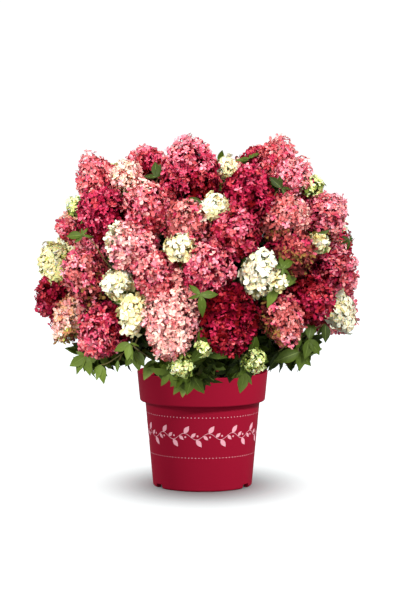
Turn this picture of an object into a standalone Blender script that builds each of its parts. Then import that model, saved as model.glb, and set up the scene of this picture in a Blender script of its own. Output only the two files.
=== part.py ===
# Potted panicle hydrangea: a compact flowering shrub in a moulded nursery pot.
# Metres, +Z up. The origin is the middle of the pot's underside, and the front faces -Y.
# Each flower head, leaf mass and bough is a plain closed solid. Where two masses press on
# each other, both are cut by one plane between them, so that they meet face to face.

import math

import bmesh
import bpy
from mathutils import Matrix, Vector, noise
from mathutils.bvhtree import BVHTree

# Distances within which points count as one, and under which an edge is a sliver
MERGE = 0.0001
SLIVER = 0.00005
FINE_MERGE = 0.00001

# Pot
POT_HEIGHT = 0.202
RIM_RADIUS = 0.115
COLLAR_HEIGHT = 0.052
COLLAR_TAPER = 0.005
COLLAR_STEP = 0.009
BASE_RADIUS = 0.087
WALL = 0.002
EDGE = 0.0035
DRAFT = 0.002
FOOT_HEIGHT = 0.008
FOOT_WIDTH = 0.008
FLOOR = 0.0022
PAD_RADIUS = 0.018
TURNED_STEPS = 36
CORNER_PULL = 0.42
NOTCHES = 3
NOTCH_WIDTH = 0.024
NOTCH_SLOPE = 0.75
NOTCH_REACH = 3.0
DRAINS = 6
DRAIN_RADIUS = 0.006
DRAIN_RING = 0.052
DRAIN_SIDES = 12

# Compost and stem
COMPOST_BELOW_RIM = 0.012
COMPOST_EDGE_DROP = 0.002
SEAT_GAP = 0.0004
FLARE_RADIUS = 0.032
STUMP_RADIUS = 0.017
STUMP_TOP_RADIUS = 0.014
STUMP_HEIGHT = 0.040
STUMP_DOME = 0.0016
STUMP_STEPS = 16
FLARE_SHARES = (0.92, 0.55, 0.25, 0.08, 0.0)

# Boughs
BOUGHS = 4
BOUGH_RADIUS = 0.0065
BOUGH_TIP_RADIUS = 0.0035
BOUGH_POINTS = 8
BOUGH_START = 0.006
BOUGH_END = 0.096
BOUGH_END_HEIGHT = 0.332
FORK_SHARE = 0.62
BOUGH_LIFT = 1.25

# The rounded shell on which the heads' middles lie
SHELL_RADIUS = 0.245
SHELL_MIDDLE = 0.360
SHELL_RISE = 0.215
SHELL_DROP = 0.170

# Masses
MASS_GAP = 0.0005
HEAD_SIDES = 9
HEAD_RINGS = 7
LEAF_SIDES = 12
LEAF_RINGS = 8
HEAD_UNEVEN = 0.16
LEAF_UNEVEN = 0.22
SWELL_SCALE = 1.4
HEAD_NARROWING = 0.16
HEAD_PUSH = 4.0
LEAF_PUSH = 1.0
NECK_DEPTH = 0.010
HANGING_BELOW = 0.012
SEED_STEP = Vector((3.1, 1.7, 5.3))
HEAD_SEED = 1
LOW_LEAF_SEED = 70
INNER_LEAF_SEED = 80

TINTS = {
    "pot": ("9C1D36", 0.45),
    "compost": ("33251B", 0.95),
    "bark": ("7A6148", 0.85),
    "leaf": ("5A7034", 0.60),
    "ruby": ("992B3F", 0.70),
    "dark_ruby": ("702029", 0.70),
    "raspberry": ("A9464F", 0.70),
    "rose": ("C96972", 0.70),
    "coral": ("C06467", 0.70),
    "dusty_rose": ("B0675E", 0.70),
    "blush": ("CE978A", 0.70),
    "peach": ("C9937C", 0.70),
    "cream": ("D3C29A", 0.70),
    "lime": ("CDBF87", 0.70),
}

# Front heads: name, tint, and in millimetres the place across and up, the width and the
# length, then the rise of the head's axis in degrees above level as it points outward.
FRONT_HEADS = (
    ("crest_rose", "rose", -21, 562, 98, 124, 82),
    ("crest_ruby", "ruby", 76, 528, 80, 100, 65),
    ("crest_salmon", "coral", 130, 575, 72, 80, 70),
    ("shoulder_left_rose", "rose", -184, 540, 72, 95, 65),
    ("shoulder_right_pink", "coral", 160, 548, 68, 72, 55),
    ("upper_left_ruby", "ruby", -170, 488, 88, 98, 45),
    ("upper_left_coral", "coral", -93, 504, 80, 96, 50),
    ("upper_middle_dusty", "dusty_rose", -27, 477, 76, 90, 40),
    ("upper_middle_ruby", "raspberry", 54, 463, 84, 94, 30),
    ("upper_right_dusty", "dusty_rose", 142, 477, 78, 94, 35),
    ("upper_right_rose", "rose", 214, 484, 74, 84, 45),
    ("middle_left_lime", "lime", -257, 392, 60, 82, 65),
    ("middle_left_dusty", "dusty_rose", -198, 382, 78, 102, 50),
    ("middle_left_blush", "rose", -124, 440, 84, 98, 25),
    ("middle_coral", "coral", -77, 394, 76, 94, 40),
    ("middle_rose", "raspberry", 9, 406, 86, 96, 25),
    ("middle_white", "cream", 97, 396, 80, 94, 55),
    ("middle_right_dusty", "dusty_rose", 150, 424, 76, 90, 20),
    ("middle_right_ruby", "ruby", 225, 390, 76, 86, 25),
    ("low_left_ruby", "dark_ruby", -262, 334, 64, 84, -60),
    ("low_left_peach", "peach", -228, 298, 60, 98, -60),
    ("low_left_raspberry", "raspberry", -170, 284, 82, 98, -40),
    ("low_left_cream", "cream", -142, 371, 50, 72, 20),
    ("low_middle_blush", "blush", -51, 306, 94, 128, -60),
    ("low_middle_ruby", "dark_ruby", 42, 308, 100, 120, -50),
    ("low_right_dusty", "dusty_rose", 133, 308, 68, 96, -50),
    ("low_right_ruby", "ruby", 185, 341, 78, 88, -10),
    ("low_right_white", "cream", 238, 309, 50, 86, -60),
)

# Rows of heads round the back: name, height, count, first bearing and step in degrees
# from the front towards the right, width, length and rise.
BACK_ROWS = (
    ("back_low", 0.305, 5, 112, 34, 0.098, 0.122, -35),
    ("back_middle", 0.410, 4, 118, 40, 0.106, 0.120, 25),
    ("back_upper", 0.505, 3, 135, 45, 0.106, 0.120, 50),
    ("back_top", 0.560, 2, 135, 90, 0.102, 0.108, 75),
)
BACK_TINTS = ("rose", "ruby", "dusty_rose", "cream", "coral", "raspberry", "blush")
TINT_STEP = 3

# Leaf masses round the rim: name, bearing in degrees, distance from the pot's axis and
# height of the middle, then the width round, the depth outward and the height.
LOW_LEAVES = (
    ("leaves_low_front", -10, 0.161, 0.214, 0.154, 0.078, 0.078),
    ("leaves_low_front_right", 26, 0.132, 0.232, 0.120, 0.080, 0.064),
    ("leaves_low_right", 64, 0.172, 0.248, 0.130, 0.110, 0.086),
    ("leaves_low_left", -72, 0.184, 0.219, 0.130, 0.106, 0.070),
    ("leaves_low_back_right", 135, 0.172, 0.240, 0.170, 0.110, 0.086),
    ("leaves_low_back_left", 213, 0.172, 0.236, 0.170, 0.110, 0.086),
)

# Leaf masses inside the crown, one at the end of each bough, and one over them
INNER_BEARING = 42
INNER_DISTANCE = 0.112
INNER_HEIGHT = 0.362
INNER_WIDTH = 0.270
INNER_DEPTH = 0.240
INNER_TALL = 0.235
TOP_HEIGHT = 0.475
TOP_WIDTH = 0.350
TOP_TALL = 0.165


class Mass:
    """One closed, uneven solid of the crown, while it is being cut to its neighbours."""

    def __init__(self, name, tint, shape, middle, push):
        self.name = name
        self.tint = tint
        self.shape = shape
        self.middle = middle
        self.push = push

    def reach(self, direction):
        """How far the solid goes from its middle along a direction."""
        return max((v.co - self.middle).dot(direction) for v in self.shape.verts)

    def cut(self, point, normal):
        """Takes off what lies beyond a plane and closes the cut."""
        everything = self.shape.verts[:] + self.shape.edges[:] + self.shape.faces[:]
        bmesh.ops.bisect_plane(
            self.shape, geom=everything, plane_co=point, plane_no=normal, clear_outer=True
        )
        rim = [edge for edge in self.shape.edges if edge.is_boundary]
        bmesh.ops.holes_fill(self.shape, edges=rim, sides=0)


# Scene and collections


def clear_scene():
    for thing in list(bpy.data.objects):
        bpy.data.objects.remove(thing, do_unlink=True)


def new_collection(name):
    collection = bpy.data.collections.new(name)
    bpy.context.scene.collection.children.link(collection)
    return collection


def linear(channel):
    """One sRGB channel, 0 to 1, as the linear value that a shader takes."""
    if channel <= 0.04045:
        return channel / 12.92
    return ((channel + 0.055) / 1.055) ** 2.4


def paint(thing, tint):
    """Gives an object its own material."""
    code, roughness = TINTS[tint]
    channels = [int(code[i : i + 2], 16) / 255 for i in (0, 2, 4)]
    material = bpy.data.materials.new(thing.name)
    material.use_nodes = True
    shader = material.node_tree.nodes["Principled BSDF"]
    shader.inputs["Base Color"].default_value = [linear(c) for c in channels] + [1.0]
    shader.inputs["Roughness"].default_value = roughness
    shader.inputs["Metallic"].default_value = 0.0
    thing.data.materials.append(material)


def object_from(shape, name, collection):
    mesh = bpy.data.meshes.new(name)
    shape.to_mesh(mesh)
    shape.free()
    thing = bpy.data.objects.new(name, mesh)
    collection.objects.link(thing)
    return thing


def as_cutter(thing):
    thing.hide_render = True
    thing.display_type = "WIRE"
    return thing


def subtract(thing, cutter):
    modifier = thing.modifiers.new("cut_" + cutter.name, "BOOLEAN")
    modifier.operation = "DIFFERENCE"
    modifier.object = cutter


# Turned pieces


def turned(name, profile, collection, steps=TURNED_STEPS):
    """A solid turned from a profile of (radius, height) points that run down its outside."""
    mesh = bpy.data.meshes.new(name)
    points = [(radius, 0.0, height) for radius, height in profile]
    edges = [(i, i + 1) for i in range(len(points) - 1)]
    mesh.from_pydata(points, edges, [])
    thing = bpy.data.objects.new(name, mesh)
    collection.objects.link(thing)
    screw = thing.modifiers.new("turn", "SCREW")
    screw.steps = steps
    screw.render_steps = steps
    screw.use_merge_vertices = True
    screw.merge_threshold = MERGE
    screw.use_smooth_shade = True
    return thing


def rounded(corner, before, after, radius):
    """Three points that round a profile's corner off."""
    corner = Vector(corner)
    start = corner + (Vector(before) - corner).normalized() * radius
    end = corner + (Vector(after) - corner).normalized() * radius
    middle = corner * CORNER_PULL + (start + end) * (1 - CORNER_PULL) / 2
    return [tuple(start), tuple(middle), tuple(end)]


def body_radius(height):
    """The outer radius of the pot's tapering body under the collar."""
    collar_foot = POT_HEIGHT - COLLAR_HEIGHT
    top_radius = RIM_RADIUS - COLLAR_TAPER - COLLAR_STEP
    return BASE_RADIUS + (top_radius - BASE_RADIUS) * height / collar_foot


def pot_profile():
    """The pot's section: down the outside, in under the foot and floor, and up inside."""
    collar_foot = POT_HEIGHT - COLLAR_HEIGHT
    collar_radius = RIM_RADIUS - COLLAR_TAPER
    floor_top = FOOT_HEIGHT + FLOOR
    rim = (RIM_RADIUS, POT_HEIGHT)
    collar_corner = (collar_radius, collar_foot)
    body_top = (body_radius(collar_foot), collar_foot + DRAFT)
    base_corner = (BASE_RADIUS, 0.0)
    foot_inside = (BASE_RADIUS - FOOT_WIDTH, 0.0)
    outside = rounded(rim, (0.0, POT_HEIGHT), collar_corner, WALL / 2)
    outside += rounded(collar_corner, rim, body_top, EDGE)
    outside += [body_top]
    outside += rounded(base_corner, body_top, foot_inside, EDGE)
    underside = [
        foot_inside,
        (foot_inside[0] - DRAFT / 2, FOOT_HEIGHT),
        (PAD_RADIUS, FOOT_HEIGHT),
        (PAD_RADIUS, 0.0),
        (0.0, 0.0),
    ]
    inside = [
        (0.0, floor_top),
        (body_radius(floor_top) - WALL, floor_top),
        (body_top[0] - WALL, collar_foot + WALL),
        (collar_radius - WALL, collar_foot + WALL + DRAFT),
        (RIM_RADIUS - WALL, POT_HEIGHT),
    ]
    return outside + underside + inside


def notch_cutter(index, collection):
    """A block with sloping sides that cuts one drainage notch through the foot ring."""
    block = bmesh.new()
    bmesh.ops.create_cube(block, size=1.0)
    for corner in block.verts:
        top = corner.co.z > 0
        corner.co.x *= NOTCH_WIDTH * (NOTCH_SLOPE if top else 1.0)
        corner.co.y = corner.co.y * FOOT_WIDTH * NOTCH_REACH - BASE_RADIUS + FOOT_WIDTH / 2
        corner.co.z = FOOT_HEIGHT - SEAT_GAP if top else -FOOT_HEIGHT
    cutter = as_cutter(object_from(block, f"notch_cutter_{index + 1}", collection))
    cutter.rotation_euler.z = 2 * math.pi * (index + 0.5) / NOTCHES
    return cutter


def drain_cutter(index, collection):
    drill = bmesh.new()
    bmesh.ops.create_cone(
        drill,
        cap_ends=True,
        segments=DRAIN_SIDES,
        radius1=DRAIN_RADIUS,
        radius2=DRAIN_RADIUS,
        depth=FLOOR * 4,
    )
    cutter = as_cutter(object_from(drill, f"drain_cutter_{index + 1}", collection))
    bearing = 2 * math.pi * index / DRAINS
    cutter.location = (
        DRAIN_RING * math.sin(bearing),
        -DRAIN_RING * math.cos(bearing),
        FOOT_HEIGHT + FLOOR / 2,
    )
    return cutter


def make_pot(parts, cutters):
    profile = pot_profile()
    pot = turned("pot", profile + profile[:1], parts)
    for index in range(NOTCHES):
        subtract(pot, notch_cutter(index, cutters))
    for index in range(DRAINS):
        subtract(pot, drain_cutter(index, cutters))
    paint(pot, "pot")


def make_compost(parts):
    """Fills the pot from its floor to just under the rim."""
    floor = FOOT_HEIGHT + FLOOR + SEAT_GAP
    top = POT_HEIGHT - COMPOST_BELOW_RIM
    collar_foot = POT_HEIGHT - COLLAR_HEIGHT
    step = collar_foot + WALL + SEAT_GAP
    inset = WALL + SEAT_GAP * 2
    collar_radius = RIM_RADIUS - COLLAR_TAPER
    share = (top - collar_foot) / COLLAR_HEIGHT
    profile = [
        (0.0, top),
        (collar_radius + COLLAR_TAPER * share - inset, top - COMPOST_EDGE_DROP),
        (collar_radius - inset, step + DRAFT),
        (body_radius(collar_foot) - inset, step),
        (body_radius(floor) - inset, floor),
        (0.0, floor),
    ]
    compost = turned("compost", profile, parts)
    paint(compost, "compost")


def make_stem(parts):
    """A short woody stump with a flared foot, cut flat where it meets the compost."""
    foot = POT_HEIGHT - COMPOST_BELOW_RIM + SEAT_GAP
    top = foot + STUMP_HEIGHT
    profile = [(0.0, top + STUMP_DOME), (STUMP_TOP_RADIUS, top)]
    for share in FLARE_SHARES:
        flare = (FLARE_RADIUS - STUMP_RADIUS) * (1 - share) ** 3
        profile.append((STUMP_RADIUS + flare, foot + STUMP_HEIGHT * share))
    profile.append((0.0, foot))
    stem = turned("stem", profile, parts, STUMP_STEPS)
    paint(stem, "bark")
    return stem


# The crown's masses


def outward(bearing):
    """The level direction at a bearing in degrees, from the front towards the right."""
    turn = math.radians(bearing)
    return Vector((math.sin(turn), -math.cos(turn), 0.0))


def shell_radius(height):
    """The radius of the rounded shell at a height."""
    if height > SHELL_MIDDLE:
        share = min(1.0, (height - SHELL_MIDDLE) / SHELL_RISE)
        return SHELL_RADIUS * (1 - share**3) ** (1 / 3)
    share = min(1.0, (SHELL_MIDDLE - height) / SHELL_DROP)
    return SHELL_RADIUS * (1 - share**4) ** (1 / 4)


def uneven_ball(sides, rings, uneven, seed, narrowing=0.0):
    """A ball of radius 1 with low swells, which narrows towards its top."""
    ball = bmesh.new()
    bmesh.ops.create_uvsphere(ball, u_segments=sides, v_segments=rings, radius=1.0)
    for vertex in ball.verts:
        swell = 1 + uneven * noise.noise(vertex.co * SWELL_SCALE + SEED_STEP * seed)
        girth = 1 - narrowing * vertex.co.z
        vertex.co.x *= girth
        vertex.co.y *= girth
        vertex.co *= swell
    return ball


def flower_head(name, tint, middle, axis, width, length, seed):
    """A blunt cone of blossom, longer than wide, along its axis."""
    head = uneven_ball(HEAD_SIDES, HEAD_RINGS, HEAD_UNEVEN, seed, HEAD_NARROWING)
    size = Matrix.Diagonal((width / 2, width / 2, length / 2, 1.0))
    turn = axis.to_track_quat("Z", "Y").to_matrix().to_4x4()
    head.transform(Matrix.Translation(middle) @ turn @ size)
    return Mass(name, tint, head, middle, HEAD_PUSH)


def leaf_mass(name, bearing, distance, height, width, depth, tall, seed):
    """A low, uneven cushion of leaves at a bearing from the pot's axis."""
    cushion = uneven_ball(LEAF_SIDES, LEAF_RINGS, LEAF_UNEVEN, seed)
    middle = outward(bearing) * distance + Vector((0.0, 0.0, height))
    size = Matrix.Diagonal((width / 2, depth / 2, tall / 2, 1.0))
    turn = Matrix.Rotation(math.radians(bearing), 4, "Z")
    cushion.transform(Matrix.Translation(middle) @ turn @ size)
    return Mass(name, "leaf", cushion, middle, LEAF_PUSH)


def axis_at(middle, rise):
    """Points away from the pot's axis, raised above level by an angle in degrees."""
    level = Vector((middle.x, middle.y, 0.0)).normalized()
    angle = math.radians(rise)
    return level * math.cos(angle) + Vector((0.0, 0.0, math.sin(angle)))


def front_heads():
    heads = []
    for seed, (name, tint, across, up, width, length, rise) in enumerate(FRONT_HEADS):
        x, z = across / 1000, up / 1000
        y = -math.sqrt(max(0.0, shell_radius(z) ** 2 - x**2))
        middle = Vector((x, y, z))
        axis = axis_at(middle, rise)
        size = (width / 1000, length / 1000)
        heads.append(flower_head("panicle_" + name, tint, middle, axis, *size, seed + HEAD_SEED))
    return heads


def back_heads():
    heads = []
    for name, height, count, first, step, width, length, rise in BACK_ROWS:
        for index in range(count):
            bearing = first + step * index
            middle = outward(bearing) * shell_radius(height) + Vector((0.0, 0.0, height))
            tint = BACK_TINTS[len(heads) * TINT_STEP % len(BACK_TINTS)]
            axis = axis_at(middle, rise)
            title = f"panicle_{name}_{index + 1}"
            seed = HEAD_SEED + len(FRONT_HEADS) + len(heads)
            heads.append(flower_head(title, tint, middle, axis, width, length, seed))
    return heads


def low_leaves():
    return [leaf_mass(*row, LOW_LEAF_SEED + i) for i, row in enumerate(LOW_LEAVES)]


def inner_leaves():
    masses = []
    inner = (INNER_DISTANCE, INNER_HEIGHT, INNER_WIDTH, INNER_DEPTH, INNER_TALL)
    for index in range(BOUGHS):
        bearing = INNER_BEARING + 360 * index / BOUGHS
        seed = INNER_LEAF_SEED + index
        masses.append(leaf_mass(f"leaves_inner_{index + 1}", bearing, *inner, seed))
    top = (0, 0.0, TOP_HEIGHT, TOP_WIDTH, TOP_WIDTH, TOP_TALL)
    masses.append(leaf_mass("leaves_top", *top, INNER_LEAF_SEED + BOUGHS))
    return masses


def grow_neck(mass, cushions):
    """Draws a mass's inner point out until it stands in the nearest inner leaf mass."""
    distance, line = math.inf, None
    for cushion in cushions:
        toward = (cushion.middle - mass.middle).normalized()
        tree = BVHTree.FromBMesh(cushion.shape)
        hit = tree.ray_cast(mass.middle, toward)
        if hit[0] is not None and hit[3] < distance:
            distance, line = hit[3], toward
    tip = max(mass.shape.verts, key=lambda vertex: (vertex.co - mass.middle).dot(line))
    if mass.reach(line) < distance + NECK_DEPTH:
        tip.co = mass.middle + line * (distance + NECK_DEPTH)


def plane_between(first, second):
    """The plane that shares out the space that two masses both reach, by their push."""
    between = second.middle - first.middle
    direction = between.normalized()
    start = between.length - second.reach(-direction)
    end = first.reach(direction)
    share = first.push / (first.push + second.push)
    return first.middle + direction * (start + (end - start) * share), direction


def part_masses(masses):
    """Cuts every two masses that overlap by the plane between them."""
    trees = [BVHTree.FromBMesh(mass.shape) for mass in masses]
    cuts = []
    for i, first in enumerate(masses):
        for j in range(i + 1, len(masses)):
            if trees[i].overlap(trees[j]):
                point, direction = plane_between(first, masses[j])
                half = direction * MASS_GAP / 2
                cuts.append((first, point - half, direction))
                cuts.append((masses[j], point + half, -direction))
    for mass, point, normal in cuts:
        mass.cut(point, normal)


def clear_the_pot(masses):
    """Keeps each mass above the rim, or outside the collar where it hangs over the edge."""
    over = POT_HEIGHT + SEAT_GAP
    beside = RIM_RADIUS + SEAT_GAP
    for mass in masses:
        level = Vector((mass.middle.x, mass.middle.y, 0.0)).normalized()
        low = mass.reach(Vector((0.0, 0.0, -1.0))) > mass.middle.z - over
        near = level.dot(mass.middle) - mass.reach(-level) < beside
        if low and near and mass.middle.z < over + HANGING_BELOW:
            mass.cut(level * beside, -level)
        elif low and near:
            mass.cut(Vector((0.0, 0.0, over)), Vector((0.0, 0.0, -1.0)))


def tidy(shape):
    """Merges points that a cut left on top of each other and makes plain triangles."""
    bmesh.ops.remove_doubles(shape, verts=shape.verts[:], dist=MERGE)
    bmesh.ops.triangulate(shape, faces=shape.faces[:])
    bmesh.ops.dissolve_degenerate(shape, edges=shape.edges[:], dist=SLIVER)
    bmesh.ops.recalc_face_normals(shape, faces=shape.faces[:])


def make_masses(parts):
    carried = front_heads() + back_heads() + low_leaves()
    cushions = inner_leaves()
    for mass in carried:
        grow_neck(mass, cushions)
    masses = carried + cushions
    part_masses(masses)
    clear_the_pot(masses)
    for mass in masses:
        tidy(mass.shape)
        paint(object_from(mass.shape, mass.name, parts), mass.tint)


# Boughs


def tube(name, points, radii, collection):
    """A closed mesh tube along points, with a radius at each."""
    curve = bpy.data.curves.new(name, "CURVE")
    curve.dimensions = "3D"
    curve.bevel_depth = 1.0
    curve.bevel_resolution = 2
    curve.use_fill_caps = True
    spline = curve.splines.new("POLY")
    spline.points.add(len(points) - 1)
    for spot, point, radius in zip(spline.points, points, radii):
        spot.co = (*point, 1.0)
        spot.radius = radius
    guide = bpy.data.objects.new(name + "_guide", curve)
    collection.objects.link(guide)
    solid = guide.evaluated_get(bpy.context.evaluated_depsgraph_get())
    mesh = bpy.data.meshes.new_from_object(solid)
    bpy.data.objects.remove(guide)
    shape = bmesh.new()
    shape.from_mesh(mesh)
    bpy.data.meshes.remove(mesh)
    bmesh.ops.remove_doubles(shape, verts=shape.verts[:], dist=FINE_MERGE)
    return object_from(shape, name, collection)


def bough_path(bearing):
    """From inside the stump's top, out and then up into an inner leaf mass."""
    fork = POT_HEIGHT - COMPOST_BELOW_RIM + STUMP_HEIGHT * FORK_SHARE
    points = []
    for index in range(BOUGH_POINTS):
        share = index / (BOUGH_POINTS - 1)
        spread = math.sin(share * math.pi / 2)
        distance = BOUGH_START + (BOUGH_END - BOUGH_START) * spread
        height = fork + (BOUGH_END_HEIGHT - fork) * share**BOUGH_LIFT
        points.append(outward(bearing) * distance + Vector((0.0, 0.0, height)))
    return points


def swollen(thing, collection):
    """A copy that stands out all round by the gap that touching pieces keep."""
    shape = bmesh.new()
    solid = thing.evaluated_get(bpy.context.evaluated_depsgraph_get())
    shape.from_mesh(solid.to_mesh())
    shape.normal_update()
    moves = [(vertex, vertex.normal * MASS_GAP) for vertex in shape.verts]
    for vertex, move in moves:
        vertex.co += move
    return as_cutter(object_from(shape, thing.name + "_cutter", collection))


def make_boughs(parts, cutters, stem):
    """One tapering limb to each inner leaf mass, which ends at the mass's surface."""
    bpy.context.view_layer.update()
    stem_cutter = swollen(stem, cutters)
    drop = BOUGH_RADIUS - BOUGH_TIP_RADIUS
    radii = [BOUGH_RADIUS - drop * i / (BOUGH_POINTS - 1) for i in range(BOUGH_POINTS)]
    for index in range(BOUGHS):
        bearing = INNER_BEARING + 360 * index / BOUGHS
        bough = tube(f"bough_{index + 1}", bough_path(bearing), radii, parts)
        subtract(bough, stem_cutter)
        subtract(bough, swollen(parts.objects[f"leaves_inner_{index + 1}"], cutters))
        paint(bough, "bark")


def main():
    clear_scene()
    parts = new_collection("potted_panicle_hydrangea")
    cutters = new_collection("cutters")
    make_pot(parts, cutters)
    make_compost(parts)
    stem = make_stem(parts)
    make_masses(parts)
    make_boughs(parts, cutters, stem)


main()
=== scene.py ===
# %% [markdown]
# Potted panicle hydrangea, looks only.
# The solid model of the plant is the frame: pot, compost, stem, boughs, and one closed solid for
# each mass of leaves and each flower head. Here the solid masses give way to what they stand for:
# twigs that fork on from the boughs, leaves in whorls, and flower heads built floret by floret.

import math
from collections import namedtuple

import bpy
import numpy as np
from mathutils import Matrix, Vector, noise


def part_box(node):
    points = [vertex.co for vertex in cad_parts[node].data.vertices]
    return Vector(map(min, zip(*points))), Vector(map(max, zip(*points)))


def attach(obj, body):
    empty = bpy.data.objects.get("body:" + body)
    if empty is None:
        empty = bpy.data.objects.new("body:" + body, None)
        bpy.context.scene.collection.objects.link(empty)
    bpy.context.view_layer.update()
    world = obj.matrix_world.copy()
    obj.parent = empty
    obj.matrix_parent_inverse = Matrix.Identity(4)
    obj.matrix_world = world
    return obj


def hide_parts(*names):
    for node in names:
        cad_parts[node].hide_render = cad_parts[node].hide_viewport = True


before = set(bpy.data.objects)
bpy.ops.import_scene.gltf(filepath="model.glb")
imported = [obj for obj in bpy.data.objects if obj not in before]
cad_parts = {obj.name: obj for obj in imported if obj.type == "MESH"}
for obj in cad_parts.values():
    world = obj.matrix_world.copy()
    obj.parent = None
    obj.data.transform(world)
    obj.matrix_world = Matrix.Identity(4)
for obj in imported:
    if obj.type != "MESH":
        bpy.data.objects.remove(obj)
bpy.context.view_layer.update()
MM = 0.001
UP = np.array([0.0, 0.0, 1.0])
SEED = 20
chance = np.random.default_rng(SEED)
print("nodes in the frame:", len(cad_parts))

# %% [markdown]
# The picture was taken from a good distance with a long lens, a little above the pot's rim and
# tipped slightly down. The ellipse of the rim and the curve of the foot fix that height and tilt.

# %% Camera
CAMERA_PLACE = (-0.0026, -4.37, 0.715)
CAMERA_TILT = 5.08
LENS = 150
SENSOR = 36

camera_data = bpy.data.cameras.new("camera")
camera_data.lens = LENS
camera_data.sensor_width = SENSOR
camera_data.dof.use_dof = False
camera = bpy.data.objects.new("camera", camera_data)
camera.location = CAMERA_PLACE
camera.rotation_euler = (math.radians(90 - CAMERA_TILT), 0, 0)
bpy.context.scene.collection.objects.link(camera)
bpy.context.scene.camera = camera
print("the camera looks down by", CAMERA_TILT, "degrees")

# %% [markdown]
# Colours are written as the sRGB hex values that a colour picker shows, and one function turns them
# into the linear values that shaders use. A second function adds a node with its settings and links.

# %% Colour and node helpers


def linear(hex_colour):
    """sRGB hex to linear red, green, blue and alpha."""
    parts = [int(hex_colour[i:i + 2], 16) / 255 for i in (1, 3, 5)]
    return [c / 12.92 if c <= 0.04045 else ((c + 0.055) / 1.055) ** 2.4 for c in parts] + [1.0]


def add_node(tree, kind, links=(), **settings):
    """Adds a node, sets its sockets or properties by name, and links (output, input name) pairs."""
    node = tree.nodes.new(kind)
    for name, value in settings.items():
        socket = node.inputs.get(name.replace("_", " "))
        if socket is not None:
            socket.default_value = value
        else:
            setattr(node, name, value)
    for output, name in links:
        tree.links.new(output, node.inputs[name])
    return node


print("the middle grey #808080 is", round(linear("#808080")[0], 3), "in linear light")

# %% [markdown]
# Every finish here starts from one shader with a plain base colour. A relief of noise gives it the
# grain of the real stuff, and its size and depth are given in millimetres, as they would be measured.

# %% Material helpers


def new_material(name, hex_colour, roughness, **shader):
    """A Principled material with a plain base colour: the material, its nodes and its shader."""
    material = bpy.data.materials.new(name)
    material.use_nodes = True
    tree = material.node_tree
    principled = tree.nodes["Principled BSDF"]
    principled.inputs["Base Color"].default_value = linear(hex_colour)
    principled.inputs["Roughness"].default_value = roughness
    for socket, value in shader.items():
        principled.inputs[socket.replace("_", " ")].default_value = value
    return material, tree, principled


def grain(tree, principled, size_mm, strength, depth_mm, detail=2.0, stretch=(1.0, 1.0, 1.0)):
    """A fine relief of noise, its grain size and depth given in millimetres."""
    place = add_node(tree, "ShaderNodeTexCoord")
    scaled = add_node(tree, "ShaderNodeMapping", [(place.outputs["Object"], "Vector")], Scale=stretch)
    cells = add_node(tree, "ShaderNodeTexNoise", [(scaled.outputs[0], "Vector")],
                     Scale=1 / (size_mm * MM), Detail=detail)
    relief = add_node(tree, "ShaderNodeBump", [(cells.outputs[0], "Height")],
                      Strength=strength, Distance=depth_mm * MM)
    tree.links.new(relief.outputs[0], principled.inputs["Normal"])


print("materials that the frame brings:", len(bpy.data.materials))

# %% [markdown]
# A sepal is a thin, papery sheet with faint veins: matt, and soft because light goes a little way in
# and comes out again nearby, redder. Veins finer than a millimetre don't show at this distance, so
# the grain is drawn at about one. Its colour is plain. A head is speckled because each floret takes a
# tint of its own from this list, from wine red through rose to ivory, or from moss green to cream.
# A leaf is firmer and has a slight waxy sheen, with its veins as a finer grain and a paler rib.

# %% Sepal and leaf materials
SEPAL_TINTS = {
    "wine": "#5b0415", "ruby": "#891430", "raspberry": "#a82d48", "deep_rose": "#c5556a",
    "rose": "#d77e89", "pink": "#e29aa2", "blush": "#ecb6b5", "shell": "#ebc8b6", "ivory": "#e1dcc4",
    "brown_wine": "#58060b", "brick_ruby": "#861c27", "brick": "#a8363f", "coral": "#c55c60",
    "salmon": "#d68685", "apricot": "#e2a19a", "apricot_blush": "#ecbaab",
    "umber_rose": "#702a2a", "old_rose": "#9a423f", "dusty_rose": "#ba5f5e", "faded_rose": "#d0827e",
    "pale_rose": "#e2a598", "bronze": "#7c5a30", "tan": "#b07350", "peach": "#dba580", "olive": "#8e7f45",
    "lime": "#afb156", "lime_cream": "#cac784", "cream": "#dad1a0", "buff": "#c6b97e",
    "moss_green": "#5d682b", "fresh_lime": "#8f9a4b", "pale_lime": "#bfc77e", "lime_white": "#d8dda3",
}
# The leaf tints are one green at several brightnesses: leaf_fresh is near its own colour, the darker ones
# are painted shade and leaf_light is painted light. leaf_rib is the paler rib.
LEAF_TINTS = {
    "leaf_deep": "#1b2505", "leaf_dark": "#2d3a0b", "leaf_mid": "#415116", "leaf_fresh": "#596a27",
    "leaf_light": "#6f8238", "leaf_rib": "#6a7c38",
}
SEPAL_ROUGHNESS, SEPAL_SPECULAR = 0.65, 0.02
SEPAL_SOFTNESS, SOFT_MM, SOFT_REACH = 0.5, 4.0, (1.0, 0.4, 0.3)
SEPAL_GRAIN_MM = 1.2
LEAF_ROUGHNESS, LEAF_SPECULAR = 0.5, 0.14
LEAF_GRAIN_MM = 0.9

sepal_names = list(SEPAL_TINTS)
sepal_materials = []
for name, colour in SEPAL_TINTS.items():
    material, tree, shader = new_material("sepal_" + name, colour, SEPAL_ROUGHNESS,
                                          Specular_IOR_Level=SEPAL_SPECULAR)
    shader.subsurface_method = "BURLEY"
    shader.inputs["Subsurface Weight"].default_value = SEPAL_SOFTNESS
    shader.inputs["Subsurface Radius"].default_value = SOFT_REACH
    shader.inputs["Subsurface Scale"].default_value = SOFT_MM * MM
    grain(tree, shader, SEPAL_GRAIN_MM, strength=0.3, depth_mm=0.25)
    sepal_materials.append(material)
leaf_names = list(LEAF_TINTS)
leaf_materials = []
for name, colour in LEAF_TINTS.items():
    material, tree, shader = new_material(name, colour, LEAF_ROUGHNESS, Specular_IOR_Level=LEAF_SPECULAR)
    grain(tree, shader, LEAF_GRAIN_MM, strength=0.35, depth_mm=0.2)
    leaf_materials.append(material)
print("sepal tints:", len(sepal_materials), "leaf tints:", len(leaf_materials))

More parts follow.
